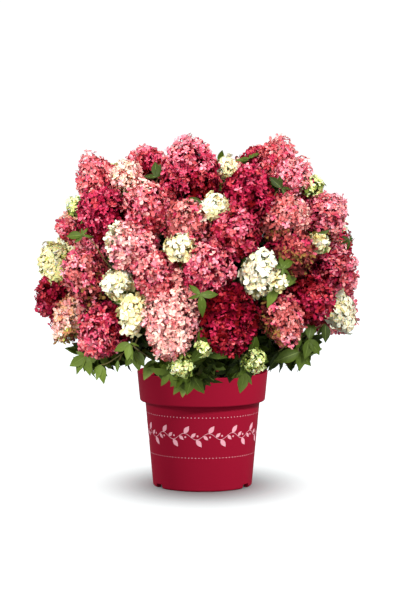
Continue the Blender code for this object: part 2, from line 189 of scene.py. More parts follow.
# %% [markdown]
# Thousands of florets are too many to be separate objects. Each is a copy of a small template that
# is turned, scaled and moved with arrays, and the copies are joined into a few large meshes.

# %% Many small things in one mesh


class Growth:
    """Triangles of one kind of thing, gathered until they are made into a mesh."""

    def __init__(self):
        self.points, self.faces, self.slots = [], [], []
        self.count, self.triangles = 0, 0
        self.nodes = []

    def add(self, points, faces, slots):
        self.points.append(points)
        self.faces.append(faces + self.count)
        self.slots.append(slots)
        self.count += len(points)
        self.triangles += len(faces)

    def scatter(self, template, places, turns, sizes, choices):
        """Copies a template to each place. A slot of -1, -2 or -3 in it picks from the copy's choices."""
        points, faces, own = template
        moved = np.einsum("pj,njk->npk", points, turns) * sizes[:, None, None] + places[:, None, :]
        steps = (np.arange(len(places)) * len(points))[:, None, None]
        picked = choices.reshape(len(places), -1)[:, np.maximum(-1 - own, 0)]
        chosen = np.where(own[None, :] < 0, picked, own[None, :])
        self.add(moved.reshape(-1, 3), (faces[None] + steps).reshape(-1, 3), chosen.reshape(-1))

    def make(self, name, materials):
        points, faces, slots = map(np.concatenate, (self.points, self.faces, self.slots))
        mesh = bpy.data.meshes.new(name)
        mesh.vertices.add(len(points))
        mesh.vertices.foreach_set("co", points.ravel())
        mesh.loops.add(faces.size)
        mesh.loops.foreach_set("vertex_index", faces.ravel().astype(np.int32))
        mesh.polygons.add(len(faces))
        mesh.polygons.foreach_set("loop_start", np.arange(0, faces.size, 3, dtype=np.int32))
        mesh.polygons.foreach_set("material_index", slots.astype(np.int32))
        mesh.polygons.foreach_set("use_smooth", np.ones(len(faces), dtype=bool))
        mesh.update(calc_edges=True)
        for material in materials:
            mesh.materials.append(material)
        piece = bpy.data.objects.new(name, mesh)
        bpy.context.scene.collection.objects.link(piece)
        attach(piece, "root")
        if self.nodes:
            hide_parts(*self.nodes)
        print(name, "has", len(faces), "triangles")
        return piece


print("faces in the frame's solids:", sum(len(node.data.polygons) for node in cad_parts.values()))

# %% [markdown]
# Each leaf, floret and stalk needs three directions of its own: the one that it points in, and two
# across that. One helper makes them for many things at once. A stalk is a ring of points that is
# carried along a path, square to it at each step.

# %% Directions and stalks
TINY, NEARLY_UPRIGHT = 1e-9, 0.9


def unit(vectors):
    """The same directions with a length of one."""
    return vectors / np.maximum(np.linalg.norm(vectors, axis=-1, keepdims=True), TINY)


def turns_facing(directions, spins):
    """For each direction, three rows: two across it, turned by the spin, and the direction."""
    directions = unit(directions)
    helper = np.where(np.abs(directions[:, 2:3]) < NEARLY_UPRIGHT, [[0.0, 0.0, 1.0]], [[1.0, 0.0, 0.0]])
    across = unit(np.cross(helper, directions))
    up = np.cross(directions, across)
    cos, sin = np.cos(spins)[:, None], np.sin(spins)[:, None]
    return np.stack([across * cos + up * sin, up * cos - across * sin, directions], axis=1)


def tube(growth, path, radii, sides, slot):
    """A round stalk along a path of points, with a radius at each."""
    rows = turns_facing(np.gradient(path, axis=0), np.zeros(len(path)))
    angles = (np.arange(sides) * 2 * math.pi / sides)[None, :, None]
    ring = np.cos(angles) * rows[:, None, 0] + np.sin(angles) * rows[:, None, 1]
    points = (path[:, None] + radii[:, None, None] * ring).reshape(-1, 3)
    corner = np.arange(sides)
    beside = (corner + 1) % sides
    faces = []
    for row in range(len(path) - 1):
        low, high = row * sides, (row + 1) * sides
        faces.append(np.stack([corner + low, beside + low, beside + high], axis=1))
        faces.append(np.stack([corner + low, beside + high, corner + high], axis=1))
    faces = np.concatenate(faces)
    growth.add(points, faces, np.full(len(faces), slot))


print("directions of a thing that points up:", turns_facing(UP[None], np.zeros(1))[0].tolist())

# %% [markdown]
# A sepal and a leaf are both thin blades: pointed, widest near the middle, and folded a little along
# it. A flat disc would look like paper confetti. A blade with a fold, a curl towards its tip and a
# twist catches the light in parts, as the real one does, and needs only a few faces. Each half of it
# may take its own slot: the floret's own tint, or the one a step lighter or darker.

# %% A blade
OWN, LIGHTER, DARKER = -1, -2, -3


def blade(outline, fold, curl, twist=0.0, ripple=0.0, slots=(OWN, OWN)):
    """A pointed blade along +X from (along, half width) pairs, with a slot for each half."""
    points = [(outline[0][0], 0.0, 0.0)]
    for row, (along, half) in enumerate(outline[1:-1]):
        height = curl * along * along
        wave = ripple * (-1) ** row
        points.append((along, -half, height + fold * half - twist * half + wave))
        points.append((along, 0.0, height))
        points.append((along, half, height + fold * half + twist * half + wave))
    points.append((outline[-1][0], 0.0, curl * outline[-1][0] ** 2))
    last, tip = len(points) - 4, len(points) - 1
    left, right = [(0, 1, 2)], [(0, 2, 3)]
    for a in range(1, last, 3):
        left += [(a, a + 3, a + 4), (a, a + 4, a + 1)]
        right += [(a + 1, a + 4, a + 5), (a + 1, a + 5, a + 2)]
    left.append((last, tip, last + 1))
    right.append((last + 1, tip, last + 2))
    return np.array(points), np.array(left + right), np.repeat(slots, len(left))


def joined(parts):
    """Several parts as one."""
    counts = np.cumsum([0] + [len(part[0]) for part in parts])
    points = np.concatenate([part[0] for part in parts])
    faces = np.concatenate([part[1] + count for part, count in zip(parts, counts)])
    return points, faces, np.concatenate([part[2] for part in parts])


def placed(part, angle=0.0, size=1.0, lift=0.0):
    """The part turned about Z, scaled, and lifted."""
    cos, sin = math.cos(angle), math.sin(angle)
    turn = np.array([[cos, sin, 0], [-sin, cos, 0], [0, 0, 1]])
    return part[0] * size @ turn + (0, 0, lift), part[1], part[2]


print("triangles in a plain blade:", len(blade(((0, 0), (0.5, 0.3), (1, 0)), 0.0, 0.0)[1]))

# %% [markdown]
# A sterile floret has four broad sepals that overlap like tiles round a bead-like bud. Two of them
# lie a little higher than the other two. Sixteen kinds are enough that no repeat shows. The florets of
# cream and lime heads are flatter and droop, and those deep in a head have fewer faces and no bud.

# %% Floret and bud templates
SEPAL_OUTLINE = ((0.02, 0.0), (0.26, 0.22), (0.55, 0.36), (0.84, 0.26), (1.0, 0.0))
PLAIN_SEPAL_OUTLINE = ((0.02, 0.0), (0.6, 0.46), (1.0, 0.0))
SEPAL_CHOICES, SEPAL_ODDS = (OWN, LIGHTER, DARKER), (0.58, 0.21, 0.21)
SEPAL_TWIST, SEPAL_RIPPLE, SEPAL_TURN, SEPAL_SIZES = 0.4, 0.09, 0.2, (0.78, 1.1)
UPPER_PAIR_LIFT = 0.05
BUD_RADIUS, BUD_HEIGHT = 0.12, 0.08
BUD_CORNERS = (0.0, 2.1, 4.2)
FLORET_KINDS, DROOPING_KINDS, PLAIN_KINDS = range(16), range(8), range(4)


def bud(radius, height, slot):
    """The low three-sided bud in the middle of a floret."""
    foot = height - radius / 2
    corners = [(radius * math.cos(turn), radius * math.sin(turn), foot) for turn in BUD_CORNERS]
    faces = [(0, 1, 3), (1, 2, 3), (2, 0, 3)]
    return np.array(corners + [(0.0, 0.0, height + radius)]), np.array(faces), np.full(3, slot)


def bead(radius, slot):
    """A small eight-sided bead: four corners round the middle, one above and one below."""
    points = [(radius, 0, 0), (0, radius, 0), (-radius, 0, 0), (0, -radius, 0)]
    points += [(0, 0, radius), (0, 0, -radius)]
    faces = [(a, (a + 1) % 4, 4) for a in range(4)] + [((a + 1) % 4, a, 5) for a in range(4)]
    return np.array(points), np.array(faces), np.full(8, slot)


def floret(outline, folds, curls, budded=True):
    """Four sepals of about unit length, each folded, curled, twisted and turned in its own way."""
    parts = [bud(BUD_RADIUS, BUD_HEIGHT, DARKER)] if budded else []
    for k in range(4):
        halves = chance.choice(SEPAL_CHOICES, 2, p=SEPAL_ODDS)
        fold, curl = chance.uniform(*folds), chance.uniform(*curls)
        twist, ripple = chance.normal(0, SEPAL_TWIST), chance.uniform(-SEPAL_RIPPLE, SEPAL_RIPPLE)
        sepal = blade(outline, fold, curl, twist, ripple, halves)
        angle = k * math.pi / 2 + chance.normal(0, SEPAL_TURN)
        parts.append(placed(sepal, angle, chance.uniform(*SEPAL_SIZES), UPPER_PAIR_LIFT * (k % 2)))
    return joined(parts)


FLORETS = [floret(SEPAL_OUTLINE, folds=(0.0, 0.85), curls=(-0.4, 0.7)) for _ in FLORET_KINDS]
DROOPING_FLORETS = [floret(SEPAL_OUTLINE, folds=(0.0, 0.4), curls=(-0.6, 0.0)) for _ in DROOPING_KINDS]
PLAIN_FLORETS = [floret(PLAIN_SEPAL_OUTLINE, (0.0, 0.85), (-0.2, 0.3), budded=False) for _ in PLAIN_KINDS]
BUDS = [bead(1.0, OWN)]
print("triangles in a floret:", len(FLORETS[0][1]), "and in a plain one:", len(PLAIN_FLORETS[0][1]))

# %% [markdown]
# A hydrangea leaf is a pointed oval, folded along its rib and bent down towards its tip. The rib is a
# thin blade of its own just above the leaf, because a paler line must have faces to carry its tint.
# A young leaf has the same form but is slimmer.

# %% Leaf templates
LEAF_OUTLINE = (
    (0.0, 0.0), (0.07, 0.08), (0.2, 0.19), (0.38, 0.255),
    (0.56, 0.25), (0.73, 0.175), (0.88, 0.08), (1.0, 0.0),
)
RIB_OUTLINE = ((0.0, 0.0), (0.2, 0.011), (0.56, 0.008), (1.0, 0.0))
RIB_LIFT, LEAF_RIPPLE = 0.008, 0.014
LEAF_KINDS = ((0.3, -0.15, 1.0), (0.15, -0.4, 0.9), (0.45, -0.1, 0.95), (0.25, -0.6, 0.8))
YOUNG_LEAF_MM, YOUNG_SLIMNESS = 28.5, 0.7


def leaf(fold, curl, broad):
    """A pointed oval leaf with a paler rib down its middle."""
    outline = [(along, half * broad) for along, half in LEAF_OUTLINE]
    rib = blade(RIB_OUTLINE, 0.0, curl, slots=[leaf_names.index("leaf_rib")] * 2)
    return joined([blade(outline, fold, curl, ripple=LEAF_RIPPLE), placed(rib, lift=RIB_LIFT)])


LEAVES = [leaf(*kind) for kind in LEAF_KINDS]
YOUNG_LEAVES = [leaf(fold, curl, broad * YOUNG_SLIMNESS) for fold, curl, broad in LEAF_KINDS]
print("triangles in a leaf:", len(LEAVES[0][1]))

# %% [markdown]
# A head's tint is a ramp of sepal colours from dark to light, with a tone on that ramp for the head's
# foot and one for its tip. The last number is the share of its florets that come from a second ramp
# instead. So a red head has some warmer florets among its own, and a dusty one some pinker ones.

# %% Ramps and tints
RAMPS = {
    "red": ("wine", "ruby", "raspberry", "deep_rose", "rose", "pink", "blush", "shell", "ivory"),
    "warm": ("brown_wine", "brick_ruby", "brick", "coral", "salmon",
             "apricot", "apricot_blush", "shell", "ivory"),
    "dusty": ("umber_rose", "old_rose", "dusty_rose", "faded_rose", "pale_rose", "shell"),
    "dusky": ("ruby", "raspberry", "deep_rose", "rose", "pink", "blush"),
    "bronze": ("umber_rose", "bronze", "old_rose", "tan", "faded_rose", "pale_rose"),
    "peach": ("bronze", "tan", "peach", "apricot_blush", "shell", "ivory"),
    "rosy": ("umber_rose", "old_rose", "faded_rose", "apricot", "blush", "shell"),
    "moss": ("bronze", "olive", "tan", "lime", "peach", "lime_cream"),
    "pale": ("bronze", "olive", "lime", "lime_cream", "cream", "ivory"),
    "creamy": ("bronze", "olive", "buff", "cream", "ivory"),
    "green": ("moss_green", "fresh_lime", "pale_lime", "lime_white", "ivory"),
}
TINTS = {
    "crimson": ("red", 1.0, 2.2, 0.1), "ruby": ("red", 1.0, 2.2, 0.55),
    "dark_ruby": ("red", 0.1, 1.4, 0.35), "wine_ruby": ("red", 0.8, 2.1, 0.4),
    "raspberry": ("red", 1.8, 3.0, 0.5), "red_rose": ("red", 2.3, 3.3, 0.3),
    "rose": ("red", 2.9, 4.0, 0.4), "deep_crest": ("red", 1.4, 3.8, 0.3),
    "coral": ("red", 2.6, 3.8, 0.6), "salmon": ("red", 3.1, 3.8, 0.85),
    "pink": ("red", 3.6, 4.3, 0.3), "pale_pink": ("red", 3.8, 4.7, 0.6),
    "blush": ("red", 4.8, 5.4, 0.9), "peach": ("peach", 1.6, 3.7, 0.3),
    "shell": ("peach", 2.6, 4.2, 0.3), "dusty_rose": ("dusty", 1.4, 2.9, 0.2),
    "old_rose": ("dusty", 0.9, 2.5, 0.45), "bronze": ("bronze", 0.4, 2.6, 0.3),
    "moss": ("moss", 0.5, 3.0, 0.3), "white": ("creamy", 3.4, 4.2, 0.0),
    "cream": ("creamy", 2.7, 3.7, 0.0), "lime": ("green", 0.8, 2.9, 0.0),
    "pale_lime": ("pale", 2.6, 4.4, 0.0),
}
print("ramps:", len(RAMPS), "and tints:", len(TINTS))

# %% [markdown]
# Each flower head is a blunt cone of florets. The list gives its tint, its width and length in
# millimetres, and how far its axis rises above level as it points outward. The middle of its solid
# gives its place. The heads that the picture doesn't show are listed in rows round the back.

# %% Heads of the frame
HEADS = {
    "crest_rose": ("deep_crest", 98, 120, 65), "crest_ruby": ("crimson", 80, 100, 65),
    "crest_salmon": ("salmon", 70, 80, 70), "shoulder_left_rose": ("salmon", 70, 95, 65),
    "shoulder_right_pink": ("pink", 66, 72, 55), "upper_left_ruby": ("crimson", 88, 98, 45),
    "upper_left_coral": ("coral", 80, 96, 50), "upper_middle_dusty": ("dusty_rose", 76, 90, 40),
    "upper_middle_ruby": ("raspberry", 84, 94, 30), "upper_right_dusty": ("dusty_rose", 78, 94, 35),
    "upper_right_rose": ("rose", 72, 84, 45), "middle_left_lime": ("pale_lime", 62, 86, 65),
    "middle_left_dusty": ("old_rose", 78, 102, 50), "middle_left_blush": ("pale_pink", 84, 98, 25),
    "middle_coral": ("coral", 76, 94, 40), "middle_rose": ("red_rose", 86, 96, 25),
    "middle_white": ("white", 64, 86, 55), "middle_right_dusty": ("old_rose", 76, 90, 20),
    "middle_right_ruby": ("raspberry", 74, 86, 25), "low_left_ruby": ("wine_ruby", 62, 84, -60),
    "low_left_peach": ("peach", 58, 92, -60), "low_left_raspberry": ("raspberry", 82, 98, -40),
    "low_left_cream": ("cream", 50, 72, 20), "low_middle_blush": ("blush", 94, 128, -60),
    "low_middle_ruby": ("dark_ruby", 100, 120, -50), "low_right_dusty": ("dusty_rose", 68, 96, -50),
    "low_right_ruby": ("ruby", 76, 88, -10), "low_right_white": ("white", 50, 86, -60),
}
BACK_ROWS = {
    "back_low": (("rose", "cream", "blush", "dusty_rose", "raspberry"), 98, 122, -35),
    "back_middle": (("ruby", "coral", "rose", "cream"), 106, 120, 25),
    "back_upper": (("blush", "dusty_rose", "raspberry"), 106, 120, 50),
    "back_top": (("ruby", "coral"), 80, 68, 75),
}
for row, (tints, wide, long, rise) in BACK_ROWS.items():
    for number, tint in enumerate(tints, 1):
        HEADS[f"{row}_{number}"] = (tint, wide, long, rise)
print("flower heads in the frame:", len(HEADS))

# %% [markdown]
# The first list moves a head lighter or darker by part of a step of its ramp. That is partly the head's
# own colour and partly painted light, which lifts pale heads that lie in shade. Many heads also take a
# second tint on one side. The second list gives that side's tint, the direction it faces, and where it
# ends: near 1 it is a small patch, and at 0 half the head.

# %% Differences between the heads
# Part of these tones is painted light that lifts the pale heads lying in shade.
HEAD_TONES = {
    "crest_ruby": -0.3, "crest_salmon": 0.1, "shoulder_right_pink": 0.3, "upper_left_ruby": 0.2,
    "upper_left_coral": -0.1, "upper_middle_dusty": -0.5, "upper_middle_ruby": -0.3,
    "upper_right_dusty": 0.2, "upper_right_rose": 0.2, "middle_left_lime": 0.2,
    "middle_left_dusty": 0.2, "middle_left_blush": 0.2, "middle_rose": 0.2, "middle_white": 0.3,
    "middle_right_dusty": -1.2, "middle_right_ruby": 0.4, "low_left_ruby": 0.2, "low_left_peach": 0.2,
    "low_left_raspberry": 0.2, "low_left_cream": 0.3, "low_middle_blush": 0.1, "low_middle_ruby": -0.4,
    "low_right_dusty": -0.2, "low_right_ruby": -0.2, "low_right_white": 0.3,
}
SECOND_TINTS = {
    "crest_rose": ("ruby", (0.2, 0.0, -1.0), 0.3),
    "upper_left_ruby": ("dark_ruby", (1.0, 0.0, -0.3), 0.6),
    "upper_left_coral": ("shell", (0.0, 0.0, 1.0), 0.9),
    "upper_middle_dusty": ("shell", (0.6, 0.0, 0.6), 0.92),
    "upper_right_dusty": ("bronze", (-0.3, 0.0, -1.0), 0.6),
    "upper_right_rose": ("bronze", (0.0, 0.0, -1.0), 0.75),
    "middle_left_dusty": ("bronze", (0.6, 0.0, -1.0), 0.5),
    "middle_left_blush": ("cream", (-1.0, 0.0, 0.5), 0.7),
    "middle_right_dusty": ("bronze", (0.0, 0.0, -1.0), -0.1),
    "low_left_peach": ("moss", (0.2, 0.0, -1.0), 0.3),
    "low_left_raspberry": ("ruby", (1.0, 0.0, 0.0), 0.7),
    "low_middle_blush": ("bronze", (0.0, 0.0, -1.0), 0.8),
    "low_right_dusty": ("bronze", (-1.0, 0.0, -0.2), 0.45),
    "low_right_white": ("shell", (0.0, 0.0, -1.0), 0.8),
}
print("heads with a tone of their own:", len(HEAD_TONES), "and with two tints:", len(SECOND_TINTS))

# %% [markdown]
# Between the large heads stand smaller ones. Those that the picture shows are listed: a tint,
# the place in millimetres to the right of the pot's axis, forward of it as a negative number, and up,
# and then width, length and rise as before. More of them fill the gaps that the picture doesn't show:
# some on top, and some on the sides and round the back that are given by their bearing, with 0 at the
# front and 90 on the right, and by their reach from the pot's axis.

# %% Smaller heads
YOUNG_HEADS = [
    ("shell", -131, -98, 551, 50, 48, 60), ("raspberry", -95, -13, 571, 50, 44, 75),
    ("cream", 41, -127, 563, 34, 38, 60), ("ruby", 95, 0, 575, 32, 32, 75),
    ("lime", 190, -60, 530, 42, 40, 60), ("cream", 194, -168, 438, 30, 42, 20),
    ("cream", 128, -236, 378, 24, 26, 10), ("cream", -116, -226, 322, 44, 76, -70),
    ("coral", -231, -14, 450, 38, 52, 30), ("lime", -219, -42, 494, 36, 36, 45),
    ("cream", 22, -226, 502, 48, 44, 40), ("cream", -37, -252, 438, 50, 48, 20),
    ("lime", -36, -238, 238, 42, 32, -20), ("lime", 87, -226, 244, 40, 34, -20),
    ("lime", 1, -262, 269, 24, 24, -10), ("dusty_rose", -41, -230, 384, 44, 44, 10),
]
BACK_YOUNG = (
    (358, 252, (98, 134, 178, 218, 262)),
    (458, 232, (100, 138, 178, 218, 258)),
    (540, 165, (112, 158, 202, 250)),
)
BACK_YOUNG_TINTS = ("cream", "lime", "rose", "cream", "peach", "ruby", "lime")
BACK_YOUNG_SIZE = (50, 50, 30)
SIDE_HEADS = (
    ("coral", 86, 214, 412, 70, 72, 15), ("raspberry", 84, 218, 318, 64, 74, -35),
    ("ruby", 78, 178, 500, 62, 60, 45), ("rose", 284, 188, 426, 72, 74, 20),
    ("pink", 285, 188, 338, 66, 70, -20), ("dusty_rose", 284, 176, 500, 56, 58, 45),
)
TOP_HEADS = (
    ("rose", 8, 52, 532, 76, 70, 85), ("dusty_rose", -62, 12, 540, 76, 70, 85),
    ("blush", 62, 62, 536, 76, 70, 85), ("ruby", -10, -30, 528, 76, 70, 85),
    ("dark_ruby", 128, -94, 490, 60, 58, 60), ("coral", -90, -58, 508, 58, 58, 70),
)


def at_bearing(bearing, reach):
    """Across and forward, for a bearing in degrees and a reach from the pot's axis."""
    turn = math.radians(bearing)
    return reach * math.sin(turn), -reach * math.cos(turn)


for height, reach, bearings in BACK_YOUNG:
    for bearing in bearings:
        tint = BACK_YOUNG_TINTS[len(YOUNG_HEADS) % len(BACK_YOUNG_TINTS)]
        across, forward = at_bearing(bearing, reach)
        YOUNG_HEADS.append((tint, round(across), round(forward), height, *BACK_YOUNG_SIZE))
for tint, bearing, reach, *rest in SIDE_HEADS:
    YOUNG_HEADS.append((tint, *at_bearing(bearing, reach), *rest))
YOUNG_HEADS += TOP_HEADS
print("smaller heads:", len(YOUNG_HEADS))

# %% [markdown]
# A panicle is a spike of side branches that get shorter towards the tip, so the head is a blunt cone,
# widest low down. The cone itself is never modelled: a formula for its girth is enough to place the
# florets on it. Low swells in its radius make the lobes that the side branches form. Head keeps
# together what is known about one head.

# %% Form of a head
Head = namedtuple("Head", "tint second middle axis wide long tone")
SHARES = np.linspace(0.01, 0.995, 200)
LOWERING, FULLNESS = 0.75, 0.6
LOBE_DEPTH, LOBES_ACROSS = 0.14, 2.6


def middle_of(name):
    """The middle of a solid's volume, so that its thin neck hardly counts."""
    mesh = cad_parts[name].data
    points = np.empty(len(mesh.vertices) * 3)
    mesh.vertices.foreach_get("co", points)
    mesh.calc_loop_triangles()
    corners = np.empty(len(mesh.loop_triangles) * 3, dtype=np.int32)
    mesh.loop_triangles.foreach_get("vertices", corners)
    a, b, c = (points.reshape(-1, 3)[corners.reshape(-1, 3)[:, i]] for i in range(3))
    volumes = np.einsum("ij,ij->i", a, np.cross(b, c))
    return (volumes[:, None] * (a + b + c) / 4).sum(axis=0) / volumes.sum()


def head_axis(middle, rise):
    """Away from the plant's upright axis, raised by an angle in degrees."""
    away = unit(middle * (1, 1, 0))
    return away * math.cos(math.radians(rise)) + UP * math.sin(math.radians(rise))


def girth(share):
    """A head's half width at a share of its length, widest low down and round at the tip."""
    return np.sin(np.pi * np.clip(share, 0, 1) ** LOWERING) ** FULLNESS


def lobes(directions, seed):
    """How far a head swells in each direction, as a share of its radius."""
    swells = [noise.noise(Vector(d * LOBES_ACROSS) + Vector((seed, 0, 0))) for d in directions]
    return 1 + LOBE_DEPTH * np.array(swells)


print("a head is widest at", round(SHARES[girth(SHARES).argmax()], 2), "of its length")

# %% [markdown]
# A floret's tone carries painted light and shade: it is lighter on a swell that stands proud and where
# the floret faces out of the crown, and darker where it faces the crown's middle, with some scatter.
# Each half of a sepal may then be a step lighter or darker than its floret, which gives the fine speckle.

# %% Tones of the florets
PALE_RAMPS = ("pale", "creamy", "green")
SECOND_RAMPS = {"red": "warm", "dusty": "dusky", "bronze": "dusty", "peach": "rosy", "moss": "bronze"}
CROWN_MIDDLE = np.array([0.0, 0.0, 0.36])
CROWN_HALF = np.array([0.27, 0.27, 0.24])
TONE_SPREAD, PALE_SPREAD = 0.5, 0.35
# Painted light and shade, in tones: lighter for florets facing out of the crown, darker for those facing
# in.
OUTWARD_PAINTED_LIGHT, PALE_OUTWARD_PAINTED_LIGHT, NEUTRAL_FACING_OUT = 0.8, 0.3, 0.75
# Painted light on the proud swells of a head, in tones per share of swell.
LOBE_PAINTED_LIGHT = 2.5
BORDER_SPREAD = 0.18


def tint_slots(tint, share, change):
    """For each floret the slots of its own tone and of the ones a step lighter and darker."""
    ramp_name, foot, tip, warm = TINTS[tint]
    names = RAMPS[ramp_name], RAMPS[SECOND_RAMPS.get(ramp_name, ramp_name)]
    ramps = np.array([[sepal_names.index(name) for name in ramp] for ramp in names])
    tones = np.round(foot + (tip - foot) * share + change).astype(int)
    picked = (chance.random(len(share)) < warm).astype(int)
    return ramps[picked[:, None], np.clip(tones[:, None] + (0, 1, -1), 0, ramps.shape[1] - 1)]


def is_pale(tint):
    return TINTS[tint][0] in PALE_RAMPS


def slots_over(head, share, outward, swell, darker):
    """The slots of a layer of florets. Those on one side take the head's second tint."""
    count, pale = len(share), is_pale(head.tint)
    # Painted light and shade: a floret is lighter on a proud lobe and where it faces out of the crown.
    facing_out = outward @ unit(head.middle - CROWN_MIDDLE)
    change = chance.normal(0, PALE_SPREAD if pale else TONE_SPREAD, count) + LOBE_PAINTED_LIGHT * (swell - 1)
    # darker carries painted shade for the inner layers, and the buds' own darker colour for buds.
    change += (PALE_OUTWARD_PAINTED_LIGHT if pale else OUTWARD_PAINTED_LIGHT) * (facing_out - NEUTRAL_FACING_OUT) + head.tone - darker
    slots = tint_slots(head.tint, share, change)
    if head.second:
        other, side, limit = head.second
        own_side = outward @ unit(np.array(side)) + chance.normal(0, BORDER_SPREAD, count) > limit
        slots[own_side] = tint_slots(other, share, change)[own_side]
    return slots


print("pale tints:", [tint for tint in TINTS if is_pale(tint)])

# %% [markdown]
# Florets are dealt over a head at golden-angle steps, which gives even cover with no rows, and then
# jittered. They face outward and a little up, and tilt this way and that. The florets that face the
# crown's middle can't be seen, so they are left out of the outer layers.

# %% A layer of florets
GOLDEN_ANGLE = math.pi * (3 - math.sqrt(5))
SPIN_SPREAD, DEPTH_SPREAD, FLORET_SIZES = 0.1, (0.95, 1.05), (0.8, 1.12)
NOSE, LEVEL_SHARE = 1.5, 0.42
TILT, PALE_TILT, LOOK_UP = 0.52, 0.26, 0.12
HIDDEN_SIDE = -0.6


def florets_over(growth, head, seed, templates, floret_mm, count, depth=1.0, darker=0.0, open_back=True):
    """One layer of florets over a head, at a share of its radius. Returns their places and faces."""
    slant = np.hypot(np.gradient(girth(SHARES)) * head.wide / 2, np.gradient(SHARES) * head.long)
    cover = np.cumsum(girth(SHARES) * slant)
    share = np.interp((np.arange(count) + chance.random(count)) / count * cover[-1], cover, SHARES)
    spin = np.arange(count) * GOLDEN_ANGLE + chance.normal(0, SPIN_SPREAD, count)
    rows = turns_facing(head.axis[None], np.zeros(1))[0]
    round_about = np.cos(spin)[:, None] * rows[0] + np.sin(spin)[:, None] * rows[1]
    slope = NOSE * (share - LEVEL_SHARE) / head.long
    outward = unit(round_about * (girth(share) / head.wide)[:, None] + head.axis * slope[:, None])
    swell = lobes(outward, seed) * depth * chance.uniform(*DEPTH_SPREAD, count)
    radius = girth(share) * head.wide / 2 * swell
    along = (share - 0.5) * head.long * swell
    places = head.middle + (round_about * radius[:, None] + head.axis * along[:, None]) * MM
    tilt = PALE_TILT if is_pale(head.tint) else TILT
    faces = unit(outward + chance.normal(0, tilt, (count, 3)) + UP * LOOK_UP)
    slots = slots_over(head, share, outward, swell / depth, darker)
    sizes = floret_mm / 2 * chance.uniform(*FLORET_SIZES, count) * MM
    turns = turns_facing(faces, chance.uniform(0, 2 * math.pi, count))
    kinds = chance.integers(0, len(templates), count)
    if open_back:
        kinds[outward @ unit(head.middle - CROWN_MIDDLE) < HIDDEN_SIDE] = -1
    for kind, template in enumerate(templates):
        own = kinds == kind
        if own.any():
            growth.scatter(template, places[own], turns[own], sizes[own], slots[own])
    return places, outward


print("golden angle:", round(math.degrees(GOLDEN_ANGLE), 1), "degrees")

# %% [markdown]
# A real head is full of florets, and little light gets into it. Three deeper layers close the gaps
# between the outer florets, painted in darker tones as shade. Each row of LAYERS gives the layer's share
# of the radius, its share of the outer count, how many tones of painted shade it goes darker, and
# whether its hidden side is left open. Light heads take less of that painted shade, as light shines on
# through them. A third of the outer florets get a stalk that can be seen, and pale heads get closed buds
# too. Lime heads have fewer open florets.

# %% Build a head
FLORET_MM, PALE_FLORET, INNER_FLORET = 16.5, 1.5, 1.2
COVER, HEAD_AREA, FLORET_FILL, LIME_SHARE = 1.5, 0.92, 0.8, 0.6
# The third number of each layer is how many tones of painted shade it goes darker.
LAYERS = ((0.86, 0.55, 0.8, True), (0.66, 0.42, 1.7, False), (0.42, 0.28, 2.6, False))
# Light and pale heads take only part of that painted shade.
LIGHT_SHARE, LIGHT_DARKENING, PALE_DARKENING = 0.35, 0.4, 0.3
BUD_EVERY_MM2, BUD_MM, BUD_DEPTH, BUD_DARKER = 45, 3.2, 0.9, 1.4
STALK_EVERY, STALK_SIDES, STALK_RADII, STALK_GAP = 3, 3, np.array([0.0007, 0.0005]), 0.0006
JOINT_SHARE, JOINT_DROP, FOOT_SHARE = 0.55, 0.12, 0.45
SPINE_SHARES, SPINE_SIDES = (0.0, 0.3, 0.6, 0.85), 6
SPINE_RADII = np.array([0.0018, 0.0014, 0.001, 0.0006])


def darkening(tint):
    """How much of a layer's painted shade a head of this tint takes."""
    if is_pale(tint):
        return PALE_DARKENING
    ramp_name, foot, tip, _ = TINTS[tint]
    light = (foot + tip) / 2 > LIGHT_SHARE * (len(RAMPS[ramp_name]) - 1)
    return LIGHT_DARKENING if light else 1.0


def flower_head(growth, stalks, head, seed):
    """The outer florets on their stalks, the inner ones, and buds where the head is pale."""
    pale, lime = is_pale(head.tint), head.tint == "lime"
    floret_mm = FLORET_MM * (PALE_FLORET if pale and not lime else 1.0)
    area = math.pi * head.wide * head.long * HEAD_AREA
    count = int(COVER * area / (FLORET_FILL * math.pi * (floret_mm / 2) ** 2))
    if lime:
        count = int(count * LIME_SHARE)
    kinds = DROOPING_FLORETS if pale else FLORETS
    places, outward = florets_over(growth, head, seed, kinds, floret_mm, count)
    # The inner layers are painted darker, as shade.
    for depth, part, darker, open_back in LAYERS:
        florets_over(growth, head, seed, PLAIN_FLORETS, floret_mm * INNER_FLORET, int(count * part),
                     depth, darker * darkening(head.tint), open_back)
    if pale:
        florets_over(growth, head, seed, BUDS, BUD_MM, int(area / BUD_EVERY_MM2), BUD_DEPTH, BUD_DARKER)
    drop = head.axis * head.long * JOINT_DROP * MM
    for place, face in zip(places[::STALK_EVERY], outward[::STALK_EVERY]):
        joint = head.middle + (place - head.middle) * JOINT_SHARE - drop
        tube(stalks, np.stack([joint, place - face * STALK_GAP]), STALK_RADII, STALK_SIDES, int(not pale))
    foot = head.middle - head.axis * head.long * FOOT_SHARE * MM
    spine = np.stack([foot + head.axis * head.long * MM * share for share in SPINE_SHARES])
    tube(stalks, spine, SPINE_RADII, SPINE_SIDES, int(not pale))
    return foot


print("layers of florets in a head:", 1 + len(LAYERS))

# %% [markdown]
# The heads are joined into a few pieces, and a piece is closed before it gets too large to handle.
# Each piece stands for the solids of the heads in it. The foot of every head is kept as a tip, for
# the twigs to grow to.

